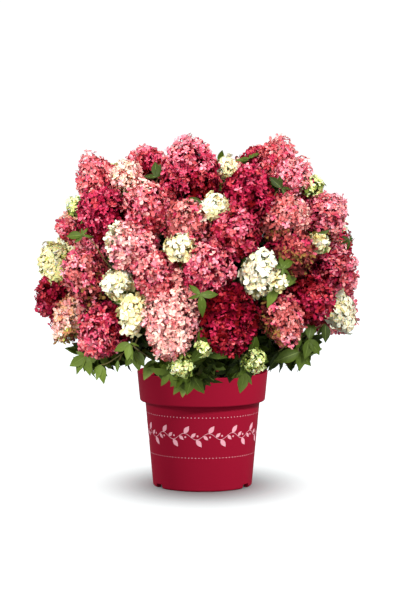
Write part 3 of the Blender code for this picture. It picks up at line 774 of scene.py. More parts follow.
# %% Make the flower heads
FULL_PIECE = 160000
blossom = [Growth()]
young = Growth()
stalks = Growth()
tips = []
for name, (tint, wide, long, rise) in HEADS.items():
    middle = middle_of("panicle_" + name)
    axis = head_axis(middle, rise)
    head = Head(tint, SECOND_TINTS.get(name), middle, axis, wide, long, HEAD_TONES.get(name, 0.0))
    tips.append((flower_head(blossom[-1], stalks, head, len(tips)), axis, "head"))
    blossom[-1].nodes.append("panicle_" + name)
    if blossom[-1].triangles > FULL_PIECE:
        blossom.append(Growth())
for tint, across, forward, up, wide, long, rise in YOUNG_HEADS:
    middle = np.array([across, forward, up]) * MM
    axis = head_axis(middle, rise)
    head = Head(tint, None, middle, axis, wide, long, 0.0)
    tips.append((flower_head(young, stalks, head, len(tips)), axis, "head"))
for number, growth in enumerate(blossom, 1):
    if growth.triangles:
        growth.make(f"florets_{number}", sepal_materials)
young.make("young_florets", sepal_materials)

# %% [markdown]
# Where the picture shows single leaves, they are laid out one by one. Each fan has its place in
# millimetres, and then for each leaf its bearing as the picture shows it, with 0 to the right and 90
# up, and its length. A few whorls fill gaps on the sides and back.

# %% Leaves laid out one by one
GAP_WHORLS = ((-170, 120, 500), (170, 150, 470), (-60, 240, 430), (70, 235, 350), (30, 150, 560))
# Each fan's last entry is its tint. leaf_light is painted light that lifts the front fans lying under the
# heads.
FANS = (
    ((-197, -165, 246), ((163, 26), (100, 15), (213, 35), (232, 36), (284, 33)), "leaf_fresh"),
    ((-172, -170, 232), ((282, 32), (226, 24), (258, 28)), "leaf_fresh"),
    ((-142, -200, 243), ((270, 21),), "leaf_mid"),
    ((-121, -215, 273), ((203, 32), (262, 29), (278, 29), (355, 16)), "leaf_fresh"),
    ((-113, -200, 258), ((284, 34), (304, 31), (240, 31)), "leaf_mid"),
    ((-84, -160, 239), ((224, 27), (248, 38), (290, 30)), "leaf_light"),
    ((-28, -135, 214), ((245, 42), (262, 43), (205, 30)), "leaf_light"),
    ((-3, -170, 247), ((162, 30), (270, 18), (334, 33), (235, 33)), "leaf_fresh"),
    ((6, -165, 237), ((291, 35), (336, 36), (255, 34)), "leaf_light"),
    ((72, -135, 214), ((256, 36), (300, 24), (200, 28)), "leaf_fresh"),
    ((130, -130, 249), ((241, 38), (215, 30)), "leaf_dark"),
    ((180, -165, 275), ((76, 36), (256, 35), (303, 33), (322, 27), (30, 10), (60, 9)), "leaf_mid"),
    ((167, -150, 276), ((96, 34), (250, 24)), "leaf_mid"),
    ((165, -155, 252), ((268, 33), (304, 31), (190, 22), (198, 49)), "leaf_mid"),
    ((209, -130, 297), ((268, 32), (235, 22)), "leaf_dark"),
    ((-77, -153, 548), ((100, 29), (78, 26), (170, 26), (45, 14)), "leaf_dark"),
    ((-201, -182, 452), ((184, 30), (350, 16), (110, 14), (65, 16), (225, 20)), "leaf_mid"),
    ((-22, -235, 517), ((250, 16), (341, 24)), "leaf_dark"),
    ((-3, -286, 360), ((135, 28), (197, 22), (6, 29), (278, 34), (60, 8)), "leaf_mid"),
    ((133, -168, 530), ((134, 29), (97, 25), (5, 20), (300, 24)), "leaf_dark"),
    ((132, -236, 400), ((92, 28), (39, 29), (157, 21), (323, 18), (270, 20)), "leaf_mid"),
    ((254, -60, 436), ((150, 17), (255, 18), (205, 16), (20, 10), (60, 10), (330, 9)), "leaf_dark"),
    ((204, -30, 533), ((120, 10), (50, 10), (355, 16), (315, 12), (200, 14)), "leaf_mid"),
    ((81, -20, 575), ((30, 24), (165, 14), (75, 10), (200, 12)), "leaf_mid"),
)
print("leaves laid out by hand:", sum(len(blades) for spot, blades, tint in FANS))

# %% [markdown]
# The other leaves stand in whorls on leafy shoots. Each leaf mass of the frame holds the ends of some
# shoots at random places inside its box, and in the masses that hang over the rim they point outward.
# The random numbers come from one seed, so each run grows the same plant.

# %% Shoots in the leaf masses
INNER_SHOOTS, INNER_REACH, INNER_RISE = 30, (0.5, 0.85), 0.3
LOW_SHOOTS, LOW_REACH, LOW_RISE = 17, (0.35, 0.7), 0.02
LOW_LIFT = 0.014
leaf_nodes = [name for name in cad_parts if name.startswith("leaves_")]
for name in leaf_nodes:
    low, high = (np.array(corner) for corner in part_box(name))
    middle, half = (low + high) / 2, (high - low) / 2
    hanging = "_low_" in name
    for _ in range(LOW_SHOOTS if hanging else INNER_SHOOTS):
        direction = unit(chance.normal(0, 1, 3))
        end = middle + direction * half * chance.uniform(*(LOW_REACH if hanging else INNER_REACH))
        if hanging:
            tips.append((end + UP * LOW_LIFT, unit(middle * (1, 1, 0) + UP * LOW_RISE), "low shoot"))
        else:
            tips.append((end, unit(direction + UP * INNER_RISE), "shoot"))
print("leaf masses:", len(leaf_nodes))

# %% [markdown]
# From the sides and back no gap between the heads may show bare twigs. A veil of shoots lies inside
# the crown's surface, all round at golden-angle steps, and a skirt of shoots behind the rim runs from
# one side round the back to the other. The fans and the whorls in the gaps get a twig each too.

# %% Shoots between the heads
VEIL_SHOOTS, VEIL_LOW, VEIL_HIGH, VEIL_REACH, VEIL_RISE = 100, -0.85, 0.95, (0.52, 0.72), 0.2
SKIRT_BEARINGS = range(62, 310, 12)
SKIRT_REACHES = (0.135, 0.165)
SKIRT_HEIGHTS = (0.235, 0.27, 0.305)
GAP_RISE, FAN_RISE = 20, 10
for number in range(VEIL_SHOOTS):
    level = VEIL_LOW + (VEIL_HIGH - VEIL_LOW) * (number + 0.5) / VEIL_SHOOTS
    turn = number * GOLDEN_ANGLE
    direction = np.array([math.cos(turn), math.sin(turn), 0]) * math.sqrt(1 - level ** 2) + UP * level
    end = CROWN_MIDDLE + direction * CROWN_HALF * chance.uniform(*VEIL_REACH)
    tips.append((end, unit(direction + UP * VEIL_RISE), "shoot"))
for number, bearing in enumerate(SKIRT_BEARINGS):
    away = np.array([*at_bearing(bearing, 1.0), 0.0])
    reach, height = SKIRT_REACHES[number % 2], SKIRT_HEIGHTS[number % 3]
    tips.append((away * reach + UP * height, away, "low shoot"))
for spot in GAP_WHORLS:
    middle = np.array(spot) * MM
    tips.append((middle, head_axis(middle, GAP_RISE), "whorl"))
for number, (spot, *_) in enumerate(FANS):
    middle = np.array(spot) * MM
    tips.append((middle, head_axis(middle, FAN_RISE), number))
print("ends of twigs:", len(tips))

# %% [markdown]
# Twigs fork on from the end of each bough. The rule is one that shrubs seem to follow: a limb runs
# part of the way to the middle of the tips that it feeds, then splits in two, and each half takes
# the tips on its own side, until one twig feeds one tip. A limb's thickness follows the number of
# tips that it carries.

# %% Grow the twigs
TWIG_RADIUS, THICKENING = 0.0009, 0.33
TWIG_STEPS, TWIG_SIDES, TWIG_PULL, TWIG_TAPER = 9, 5, 0.35, (1.3, 0.8)
LIMB_STEPS, LIMB_SIDES, LIMB_PULL, LIMB_TAPER = 6, 6, 0.3, (1.1, 1.0)
RUN = 0.45
BOUGHS = ("bough_1", "bough_2", "bough_3", "bough_4")
END_POINTS, BOUGH_RISE = 8, 0.1
twigs = Growth()
shoots = []


def bend(start, start_pull, end, end_pull, count):
    """A smooth curve that leaves and arrives in given directions."""
    t = np.linspace(0, 1, count)[:, None]
    return ((1 - t) ** 3 * start + 3 * (1 - t) ** 2 * t * (start + start_pull)
            + 3 * (1 - t) * t ** 2 * (end - end_pull) + t ** 3 * end)


def grow(start, ahead, own):
    """Feeds the tips in own from start, and forks where there is more than one."""
    radius = TWIG_RADIUS * len(own) ** THICKENING
    if len(own) == 1:
        end, arrival, kind = own[0]
        reach = np.linalg.norm(end - start) * TWIG_PULL
        path = bend(start, ahead * reach, end, arrival * reach, TWIG_STEPS)
        first, last = (radius * share for share in TWIG_TAPER)
        tube(twigs, path, np.linspace(first, last, TWIG_STEPS), TWIG_SIDES, 0)
        shoots.append((path, kind))
        return
    places = np.array([tip[0] for tip in own])
    middle = places.mean(axis=0)
    fork = start + (middle - start) * RUN
    heading = unit(middle - start)
    reach = np.linalg.norm(fork - start) * LIMB_PULL
    path = bend(start, ahead * reach, fork, heading * reach, LIMB_STEPS)
    first, last = (radius * share for share in LIMB_TAPER)
    tube(twigs, path, np.linspace(first, last, LIMB_STEPS), LIMB_SIDES, 0)
    spread = places - middle
    widest = np.linalg.svd(spread)[2][0]
    order = np.argsort(spread @ widest)
    half = len(order) // 2
    for side in (order[:half], order[half:]):
        group = [own[index] for index in side]
        toward = unit(np.mean([tip[0] for tip in group], axis=0) - fork)
        grow(fork, unit(heading + toward), group)


def bough_end(name):
    """The middle of the bough's outer end."""
    points = np.array([vertex.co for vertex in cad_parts[name].data.vertices])
    far = np.argsort(np.linalg.norm(points[:, :2], axis=1) + points[:, 2])[-END_POINTS:]
    return points[far].mean(axis=0)


ends = [bough_end(name) for name in BOUGHS]
feeds = [min(range(len(ends)), key=lambda k: np.linalg.norm(ends[k] - tip[0])) for tip in tips]
for number, end in enumerate(ends):
    own = [tip for tip, feed in zip(tips, feeds) if feed == number]
    grow(end, unit(end * (1, 1, 0) + UP * BOUGH_RISE), own)
    print(BOUGHS[number], "feeds", len(own), "tips")

# %% [markdown]
# A whorl is three or four leaves round a twig. Each twig has one at its end or under its flower head,
# and one further back. The list gives for each kind the count, the length as a share of a full
# leaf's, how much the leaves rise along the twig, and how much they droop. A whorl has one tint.

# %% A whorl of leaves
LEAF_MM = 40.0
WHORLS = {
    "under a head": (3, 1.0, 0.3, 0.1), "behind a head": (3, 1.0, 0.4, 0.2),
    "in a gap": (4, 0.68, 0.5, 0.15), "heart of a gap": (3, 0.34, 1.1, 0.0),
    "low end": (4, 0.82, 0.6, 0.5), "low back": (3, 0.86, 0.5, 0.4),
    "end": (4, 0.9, 0.4, 0.15), "back": (3, 1.0, 0.4, 0.2),
}
WHORL_TURN, WHORL_TILT, LEAF_SIZES = 0.22, 0.15, (0.75, 1.12)
LEAST_RISE, MOST_RISE = 0.4, 1.4
LEAF_STALK = 0.0015
leaves = Growth()


def whorl(middle, axis, kind, tint):
    """Leaves round a twig. Each starts at the twig and faces up."""
    count, share, rise, droop = WHORLS[kind]
    rows = turns_facing(axis[None], chance.uniform(0, 2 * math.pi, 1))[0]
    angles = 2 * math.pi * np.arange(count) / count + chance.normal(0, WHORL_TURN, count)
    out = np.cos(angles)[:, None] * rows[0] + np.sin(angles)[:, None] * rows[1]
    lift = chance.uniform(rise * LEAST_RISE, rise * MOST_RISE, count)[:, None]
    ahead = unit(out + axis * lift - UP * droop)
    level = np.cross(np.broadcast_to(axis, ahead.shape), ahead)
    side = unit(level + chance.normal(0, WHORL_TILT, (count, 3)))
    facing = unit(np.cross(ahead, side))
    turns = np.stack([ahead, np.cross(facing, ahead), facing], axis=1)
    sizes = LEAF_MM * share * chance.uniform(*LEAF_SIZES, count) * MM
    template = LEAVES[chance.integers(len(LEAVES))]
    slots = np.full(count, leaf_names.index(tint))
    leaves.scatter(template, middle + out * LEAF_STALK, turns, sizes, slots)


print("leaves in a whorl:", sorted({count for count, *_ in WHORLS.values()}))

# %% [markdown]
# The leaves of a fan face the front and a little up, and those at the sides turn outward with the
# crown. Each is tilted by chance, so that no two catch the light alike. Short ones are young.

# %% A fan of leaves
FAN_OUTWARD, FAN_UP, FAN_TILT = 1.5, 0.3, 0.18


def fan(middle, blades, tint):
    """Leaves laid out round a twig's end, each by its bearing as seen from the front."""
    facing = unit(np.array([FAN_OUTWARD * middle[0], -1.0, FAN_UP]))
    right = unit(np.cross(-facing, UP))
    above = np.cross(facing, right)
    slot = np.array([leaf_names.index(tint)])
    for bearing, long_mm in blades:
        turn = math.radians(bearing)
        ahead = right * math.cos(turn) + above * math.sin(turn)
        tilted = facing + chance.normal(0, FAN_TILT, 3)
        own_facing = unit(tilted - ahead * (tilted @ ahead))
        turns = np.stack([ahead, np.cross(own_facing, ahead), own_facing])[None]
        kinds = YOUNG_LEAVES if long_mm < YOUNG_LEAF_MM else LEAVES
        template = kinds[chance.integers(len(kinds))]
        leaves.scatter(template, middle[None], turns, np.array([long_mm * MM]), slot)


print("fans:", len(FANS))

# %% [markdown]
# A whorl's tint is painted light and shade: deep green inside the crown and fresh green near its
# surface, so it follows the whorl's place between the crown's middle and its surface, with some scatter.
# Low shoots bend down, and their leaves hang over the rim.

# %% Put the leaves on the shoots
DARK_WITHIN, LIGHT_DEPTH = 0.55, 0.4
UNDER_CROWN, CROWN_STEPS, LOW_STEPS, STEP_SPREAD = 0.28, 2.6, 2.4, 0.6
LIGHTEST_BY_RULE = leaf_names.index("leaf_fresh")
LOW_END_BEND, LOW_BACK_BEND = 0.5, 0.3
HEART_RISE = 0.003


def light_at(place):
    """How near the crown's outside a place is: 0 deep inside, 1 at its surface."""
    reach = np.linalg.norm((place - CROWN_MIDDLE) / CROWN_HALF)
    return float(np.clip((reach - DARK_WITHIN) / LIGHT_DEPTH, 0, 1))


def tint_for(place):
    # Painted shade: the deeper a whorl lies in the crown, the darker the copy of the green that it takes.
    steps = CROWN_STEPS if place[2] > UNDER_CROWN else LOW_STEPS
    step = light_at(place) * steps + chance.normal(0, STEP_SPREAD)
    return leaf_names[int(np.clip(round(step), 0, LIGHTEST_BY_RULE))]


for path, kind in shoots:
    ahead = unit(path[-1] - path[-2])
    back = unit(path[-3] - path[-5])
    tint = tint_for(path[-1])
    if kind == "head":
        whorl(path[-2], ahead, "under a head", tint)
        whorl(path[-5], back, "behind a head", tint_for(path[-5]))
    elif kind == "whorl":
        whorl(path[-1], ahead, "in a gap", "leaf_mid")
        whorl(path[-1] + ahead * HEART_RISE, ahead, "heart of a gap", "leaf_fresh")
    elif kind == "low shoot":
        whorl(path[-1], unit(ahead - UP * LOW_END_BEND), "low end", tint)
        whorl(path[-4], unit(back - UP * LOW_BACK_BEND), "low back", tint_for(path[-4]))
    elif kind == "shoot":
        whorl(path[-1], ahead, "end", tint)
        whorl(path[-4], back, "back", tint)
    else:
        fan(path[-1], *FANS[kind][1:])
leaves.nodes = leaf_nodes
leaves.make("leaves", leaf_materials)

# %% [markdown]
# Old hydrangea wood has a thin, brown, stringy bark, with a grain that runs along it. Young twigs are
# smooth and greenish brown. The stalks of the florets are fine and a little glossy: green in the pale
# heads, and red in the others, where the colour of the sepals runs down into them.

# %% Wood and stalk materials
bark, tree, shader = new_material("hydrangea_bark", "#6b5138", roughness=0.85)
grain(tree, shader, size_mm=3.0, strength=0.6, depth_mm=0.8, detail=5.0, stretch=(1.0, 1.0, 0.25))
young_wood, tree, shader = new_material("young_wood", "#6f6234", roughness=0.6)
grain(tree, shader, size_mm=1.5, strength=0.3, depth_mm=0.3)
stalk_materials = []
for name, colour in (("green_stalk", "#8c8a4a"), ("red_stalk", "#6e1f2a")):
    material, tree, shader = new_material(name, colour, roughness=0.55)
    grain(tree, shader, size_mm=1.0, strength=0.3, depth_mm=0.2)
    stalk_materials.append(material)
twigs.make("twigs", [young_wood])
stalks.make("floret_stalks", stalk_materials)

# %% [markdown]
# The relief of old bark shows on a limb's outline, so it is made in the mesh. The solids of the stem
# and boughs are copied, cut into small faces by a voxel remesh, and pushed in and out in long strands.

# %% Bark on the stem and boughs
STRANDS_ACROSS, STRANDS_ALONG, STRAND_DEPTH = 260, 45, 0.0008
VOXEL = 0.0015


def apply_modifiers(piece):
    """Makes what the modifiers give the object's own mesh."""
    mesh = bpy.data.meshes.new_from_object(piece.evaluated_get(bpy.context.evaluated_depsgraph_get()))
    piece.modifiers.clear()
    piece.data = mesh


for name in ("stem", *BOUGHS):
    limb = bpy.data.objects.new(name + "_bark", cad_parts[name].data.copy())
    bpy.context.scene.collection.objects.link(limb)
    remesh = limb.modifiers.new("small faces", "REMESH")
    remesh.mode = "VOXEL"
    remesh.voxel_size = VOXEL
    apply_modifiers(limb)
    fine = limb.data
    for vertex in fine.vertices:
        x, y, z = vertex.co
        strand = noise.noise(Vector((x * STRANDS_ACROSS, y * STRANDS_ACROSS, z * STRANDS_ALONG)))
        vertex.co += vertex.normal * STRAND_DEPTH * strand
    fine.materials.clear()
    fine.materials.append(bark)
    fine.shade_smooth()
    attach(limb, "root")
    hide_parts(name)
    print(limb.name, "has", len(fine.polygons), "faces")

# %% [markdown]
# Potting compost is dark, damp peat and bark fines, quite matt. Its surface is a disc with lumps that
# turns down into a skirt where it meets the pot, so that no edge shows. Crumbs of two to six
# millimetres are strewn on it, made from the same bead as the buds.

# %% Compost
RINGS, SPOKES = 22, 72
EDGE_GAP, SETTLED, SKIRT_DEEP = 0.0015, 0.003, 0.03
LUMP_DEPTH, LUMPS_PER_METRE, LUMP_SEED = 0.0028, 60, 3.0
CRUMBS, CRUMB_RADII, CRUMB_SPINS = 700, (0.0008, 0.0028), (0, 6)
CRUMB_SUNK, CRUMB_EDGE = 0.0022, 0.97
peat, tree, shader = new_material("potting_compost", "#2b1f16", roughness=0.95)
grain(tree, shader, size_mm=2.5, strength=0.8, depth_mm=1.0, detail=4.0)
soil = Growth()
compost_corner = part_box("compost")[1]
top, edge = compost_corner[2], compost_corner[0] - EDGE_GAP
ring, spoke = np.meshgrid(np.arange(RINGS + 1), np.arange(SPOKES), indexing="ij")
radii = edge * ring / RINGS
angles = spoke * 2 * math.pi / SPOKES
surface = np.stack([radii * np.cos(angles), radii * np.sin(angles), np.zeros_like(radii)], axis=-1)
surface = surface.reshape(-1, 3)
scaled = surface[:, :2] * LUMPS_PER_METRE
lumps = [noise.noise(Vector((x, y, LUMP_SEED))) for x, y in scaled]
surface[:, 2] = top - SETTLED + LUMP_DEPTH * np.array(lumps)
skirt = surface[-SPOKES:] - UP * SKIRT_DEEP
points = np.concatenate([surface, skirt])
here = np.arange(SPOKES)
beside = (here + 1) % SPOKES
faces = []
for row in range(RINGS + 1):
    low, high = row * SPOKES, (row + 1) * SPOKES
    faces.append(np.stack([here + low, here + high, beside + high], axis=1))
    faces.append(np.stack([here + low, beside + high, beside + low], axis=1))
faces = np.concatenate(faces)
soil.add(points, faces, np.zeros(len(faces), dtype=int))
angles = chance.uniform(0, 2 * math.pi, CRUMBS)
reach = edge * np.sqrt(chance.random(CRUMBS)) * CRUMB_EDGE
heights = np.full(CRUMBS, top - CRUMB_SUNK)
places = np.stack([reach * np.cos(angles), reach * np.sin(angles), heights], axis=1)
turns = turns_facing(chance.normal(0, 1, (CRUMBS, 3)), chance.uniform(*CRUMB_SPINS, CRUMBS))
soil.scatter(BUDS[0], places, turns, chance.uniform(*CRUMB_RADII, CRUMBS), np.zeros(CRUMBS, dtype=int))
soil.nodes = ["compost"]
soil.make("compost_surface", [peat])

# %% [markdown]
# The pot is a thin moulded shell with a collar under its rim. It is round, so half of its section is
# drawn as one closed profile, with round lips and edges as a mould gives them, and turned about the
# upright axis with a screw modifier.

# %% Profile of the pot
pot_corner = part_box("pot")[1]
HEIGHT, RIM = pot_corner[2], pot_corner[0]
COLLAR, COLLAR_TAPER, COLLAR_STEP, BASE = 0.052, 0.005, 0.009, 0.087
WALL, FOOT, FOOT_WIDE, FLOOR, PAD = 0.002, 0.008, 0.008, 0.0022, 0.018
COLLAR_FOOT = HEIGHT - COLLAR
LIP_ARC, EDGE_ARC, STEP_ARC, ARC_STEPS = 0.0009, 0.0035, 0.0015, 6
DRAFT, STEP_RISE, INSIDE_STEP = 0.001, 0.001, 0.002


def body_radius(height):
    """The outer radius of the tapering body under the collar."""
    return BASE + (RIM - COLLAR_TAPER - COLLAR_STEP - BASE) * height / COLLAR_FOOT


def rounded(corner, before, after, radius):
    """A corner of the profile as an arc-like curve between its two sides."""
    corner, before, after = (np.array(point) for point in (corner, before, after))
    start = corner + unit(before - corner) * radius
    end = corner + unit(after - corner) * radius
    t = np.linspace(0, 1, ARC_STEPS)[:, None]
    return [tuple(point) for point in (1 - t) ** 2 * start + 2 * (1 - t) * t * corner + t ** 2 * end]


def pot_profile():
    """Down the outside, in under the foot and floor, and up the inside."""
    rim, rim_in = (RIM, HEIGHT), (RIM - WALL, HEIGHT)
    collar_corner = (RIM - COLLAR_TAPER, COLLAR_FOOT)
    step_in = (body_radius(COLLAR_FOOT), COLLAR_FOOT + STEP_RISE)
    base_corner, foot_in = (BASE, 0.0), (BASE - FOOT_WIDE, 0.0)
    inside_step = (body_radius(COLLAR_FOOT) - WALL, COLLAR_FOOT + WALL)
    points = rounded(rim, rim_in, collar_corner, LIP_ARC)
    points += rounded(collar_corner, rim, step_in, EDGE_ARC)
    points += rounded(step_in, collar_corner, base_corner, STEP_ARC)
    points += rounded(base_corner, step_in, foot_in, EDGE_ARC)
    points += [foot_in, (BASE - FOOT_WIDE - DRAFT, FOOT), (PAD, FOOT), (PAD, 0.0), (0.0, 0.0)]
    points += [(0.0, FOOT + FLOOR), (body_radius(FOOT) - WALL, FOOT + FLOOR), inside_step]
    points += [(RIM - COLLAR_TAPER - WALL, COLLAR_FOOT + WALL + INSIDE_STEP)]
    points += [(RIM - WALL, HEIGHT - DRAFT)]
    points += rounded(rim_in, (RIM - WALL, 0.0), rim, LIP_ARC)
    return points


profile = pot_profile()
print("points in the profile:", len(profile))

# %% [markdown]
# The screw modifier turns the profile into a shell, and the points that fall together on the axis are
# merged. Its result is then made the pot's own mesh, so that the next step can cut into it.

# %% Turn the pot
TURN_STEPS, MERGE_WITHIN = 160, 0.00001
mesh = bpy.data.meshes.new("moulded_pot")
edges = [(i, (i + 1) % len(profile)) for i in range(len(profile))]
mesh.from_pydata([(radius, 0.0, height) for radius, height in profile], edges, [])
pot = bpy.data.objects.new("moulded_pot", mesh)
bpy.context.scene.collection.objects.link(pot)
screw = pot.modifiers.new("turn", "SCREW")
screw.steps = screw.render_steps = TURN_STEPS
screw.use_merge_vertices = True
screw.merge_threshold = MERGE_WITHIN
apply_modifiers(pot)
print("faces in the turned shell:", len(pot.data.polygons))

# %% [markdown]
# A nursery pot has notches in its foot ring, so that water can run out, and drain holes in its floor.
# The turned shell can't hold them, so a block for each is cut out of it. All blocks are one mesh and
# one boolean step, which is quicker than nine.

# %% Notches and drain holes
NOTCHES, NOTCH_WIDE, NOTCH_SLOPE, NOTCH_DEEP, NOTCH_GAP = 3, 0.024, 0.75, 0.024, 0.0003
DRAINS, DRAIN_RADIUS, DRAIN_RING, DRAIN_SIDES = 6, 0.006, 0.052, 24
NOTCH_RADIUS = BASE - FOOT_WIDE / 2
NOTCH_TOP = FOOT - NOTCH_GAP


def block_to_cut(top, foot, high, low, turn):
    """A closed block between two outlines, turned about the pot's axis: its points and faces."""
    count = len(top)
    cos, sin = math.cos(turn), math.sin(turn)
    points = [(x * cos - y * sin, x * sin + y * cos, high) for x, y in top]
    points += [(x * cos - y * sin, x * sin + y * cos, low) for x, y in foot]
    faces = [tuple(range(count)), tuple(range(2 * count - 1, count - 1, -1))]
    faces += [(i, i + count, (i + 1) % count + count, (i + 1) % count) for i in range(count)]
    return points, faces


def notch_outline(wide):
    near, far = -NOTCH_RADIUS - NOTCH_DEEP / 2, -NOTCH_RADIUS + NOTCH_DEEP / 2
    return [(-wide / 2, near), (wide / 2, near), (wide / 2, far), (-wide / 2, far)]


def drain_outline():
    turns = [2 * math.pi * side / DRAIN_SIDES for side in range(DRAIN_SIDES)]
    return [(DRAIN_RADIUS * math.cos(turn), DRAIN_RADIUS * math.sin(turn) - DRAIN_RING) for turn in turns]


blocks = []
for index in range(NOTCHES):
    turn = 2 * math.pi * (index + 0.5) / NOTCHES
    top, foot = notch_outline(NOTCH_WIDE * NOTCH_SLOPE), notch_outline(NOTCH_WIDE)
    blocks.append(block_to_cut(top, foot, NOTCH_TOP, -FOOT, turn))
for index in range(DRAINS):
    turn, ring = 2 * math.pi * index / DRAINS, drain_outline()
    blocks.append(block_to_cut(ring, ring, FOOT + FLOOR * 2, FOOT - FLOOR, turn))
cut_points, cut_faces = [], []
for points, faces in blocks:
    cut_faces += [tuple(corner + len(cut_points) for corner in face) for face in faces]
    cut_points += points
cut_mesh = bpy.data.meshes.new("cut")
cut_mesh.from_pydata(cut_points, [], cut_faces)
cut = bpy.data.objects.new("cut", cut_mesh)
bpy.context.scene.collection.objects.link(cut)
boolean = pot.modifiers.new("notches and drains", "BOOLEAN")
boolean.object = cut
boolean.operation = "DIFFERENCE"
boolean.solver = "EXACT"
apply_modifiers(pot)
bpy.data.objects.remove(cut)
print("faces after the cut:", len(pot.data.polygons))

# %% [markdown]
# Nursery pots are injection-moulded from polypropylene that is coloured through. That gives an even
# deep red with hardly any gloss, and the very fine grain of the mould. The grain is drawn at about a
# millimetre, as a finer one wouldn't show. Sharp edges stay sharp where faces meet at over 50 degrees.

# %% Finish of the pot
polypropylene, tree, shader = new_material("moulded_polypropylene", "#8d122a", roughness=0.5,
                                           Specular_IOR_Level=0.02)
grain(tree, shader, size_mm=1.1, strength=0.06, depth_mm=0.2)
pot.data.materials.append(polypropylene)
pot.data.shade_smooth()
pot.data.set_sharp_from_angle(angle=math.radians(50))
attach(pot, "root")
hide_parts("pot")
print("pot triangles:", sum(len(face.vertices) - 2 for face in pot.data.polygons))

# %% [markdown]
# The pot carries a plain garland, printed in one pale ink: a waving stem with pointed leaves and
# dots, and a fine row of dots above and below. Pad printing lays a film far thinner than a
# millimetre. Here it lies a quarter of a millimetre proud, so that the pot doesn't show through. Each
# shape is drawn flat first, and then laid round the body.

# %% Shapes of the garland
INK_PROUD = 0.00025
GARLAND_HEIGHT, WAVES, WAVE_DEEP = 0.098, 14, 0.0055
print_leaf = blade(LEAF_OUTLINE, 0.0, 0.0, slots=(0, 0))
garland = Growth()


def on_body(angles, heights):
    """Points on the pot's body at bearings from its front, a film's thickness proud."""
    radii = BASE + (body_radius(COLLAR_FOOT) - BASE) * heights / COLLAR_FOOT + INK_PROUD
    return np.stack([radii * np.sin(angles), -radii * np.cos(angles), heights], axis=1)


def print_flat(points, faces, angle, height, lean=0.0, size=1.0):
    """Lays a flat shape on the body, leaning from level by an angle."""
    cos, sin = math.cos(lean), math.sin(lean)
    across = (points[:, 0] * cos - points[:, 1] * sin) * size
    up = (points[:, 0] * sin + points[:, 1] * cos) * size
    placed_points = on_body(angle + across / body_radius(height), height + up)
    garland.add(placed_points, faces, np.zeros(len(faces), dtype=int))


def disc(radius, sides=10):
    turns = 2 * math.pi * np.arange(sides) / sides
    points = np.stack([radius * np.cos(turns), radius * np.sin(turns)], axis=1)
    faces = [(0, side, side + 1) for side in range(1, sides - 1)]
    return points, np.array(faces)


def stem_height(angle):
    return GARLAND_HEIGHT + WAVE_DEEP * np.sin(WAVES * angle)


wave_length = 2 * math.pi * body_radius(GARLAND_HEIGHT) / WAVES
print("a wave of the garland is", round(wave_length / MM), "mm long")

# %% [markdown]
# The stem is a narrow band with two edges. At each crest of a wave stands a large leaf with a round
# berry opposite, and before it a small leaf that leans the other way, so the rhythm isn't stiff.

# %% Print the garland
STEM_HALF, STEPS_PER_WAVE = 0.00045, 24
LARGE_LEAF_MM, LARGE_LEAN = 16.0, 0.95
SMALL_LEAF_MM, SMALL_LEAN, SMALL_BEFORE = 11.0, 0.75, 0.42
BERRY_RADIUS, BERRY_AFTER, BERRY_DROP = 0.0017, 0.1, 0.0065
DOTS_ROUND, DOT_RADIUS, DOT_HEIGHTS = 96, 0.0009, (0.131, 0.060)
steps = WAVES * STEPS_PER_WAVE
bearings = 2 * math.pi * np.arange(steps + 1) / steps
edges = [on_body(bearings, stem_height(bearings) + side * STEM_HALF) for side in (-1, 1)]
here = np.arange(steps)
there = here + steps + 1
halves = (here, here + 1, there + 1), (here, there + 1, there)
faces = np.concatenate([np.stack(corners, axis=1) for corners in halves])
garland.add(np.concatenate(edges), faces, np.zeros(len(faces), dtype=int))
half_wave = math.pi / WAVES
for index in range(2 * WAVES):
    side = 1 if index % 2 == 0 else -1
    crest = math.pi * (index + 0.5) / WAVES
    before, after = crest - half_wave * SMALL_BEFORE, crest + half_wave * BERRY_AFTER
    print_flat(*print_leaf[:2], crest, stem_height(crest), side * LARGE_LEAN, LARGE_LEAF_MM * MM)
    print_flat(*print_leaf[:2], before, stem_height(before), -side * SMALL_LEAN, SMALL_LEAF_MM * MM)
    print_flat(*disc(BERRY_RADIUS), after, stem_height(crest) - side * BERRY_DROP)
for height in DOT_HEIGHTS:
    for index in range(DOTS_ROUND):
        print_flat(*disc(DOT_RADIUS), 2 * math.pi * index / DOTS_ROUND, height)
ink, tree, shader = new_material("pad_printed_ink", "#dd9eaa", roughness=0.55, Specular_IOR_Level=0.05)
grain(tree, shader, size_mm=0.8, strength=0.1, depth_mm=0.05)
garland_piece = garland.make("printed_garland", [ink])

# %% [markdown]
# The plant stands on a white table. Close round the foot the picture shows a soft shade that fades to
# pure white. The table's own material paints that shadow: what the camera sees of the table glows, and
# the glow fades towards the pot's axis over an oval that is longer from front to back. The table's faint
# cyan grey cancels the red light that the pot throws on it.

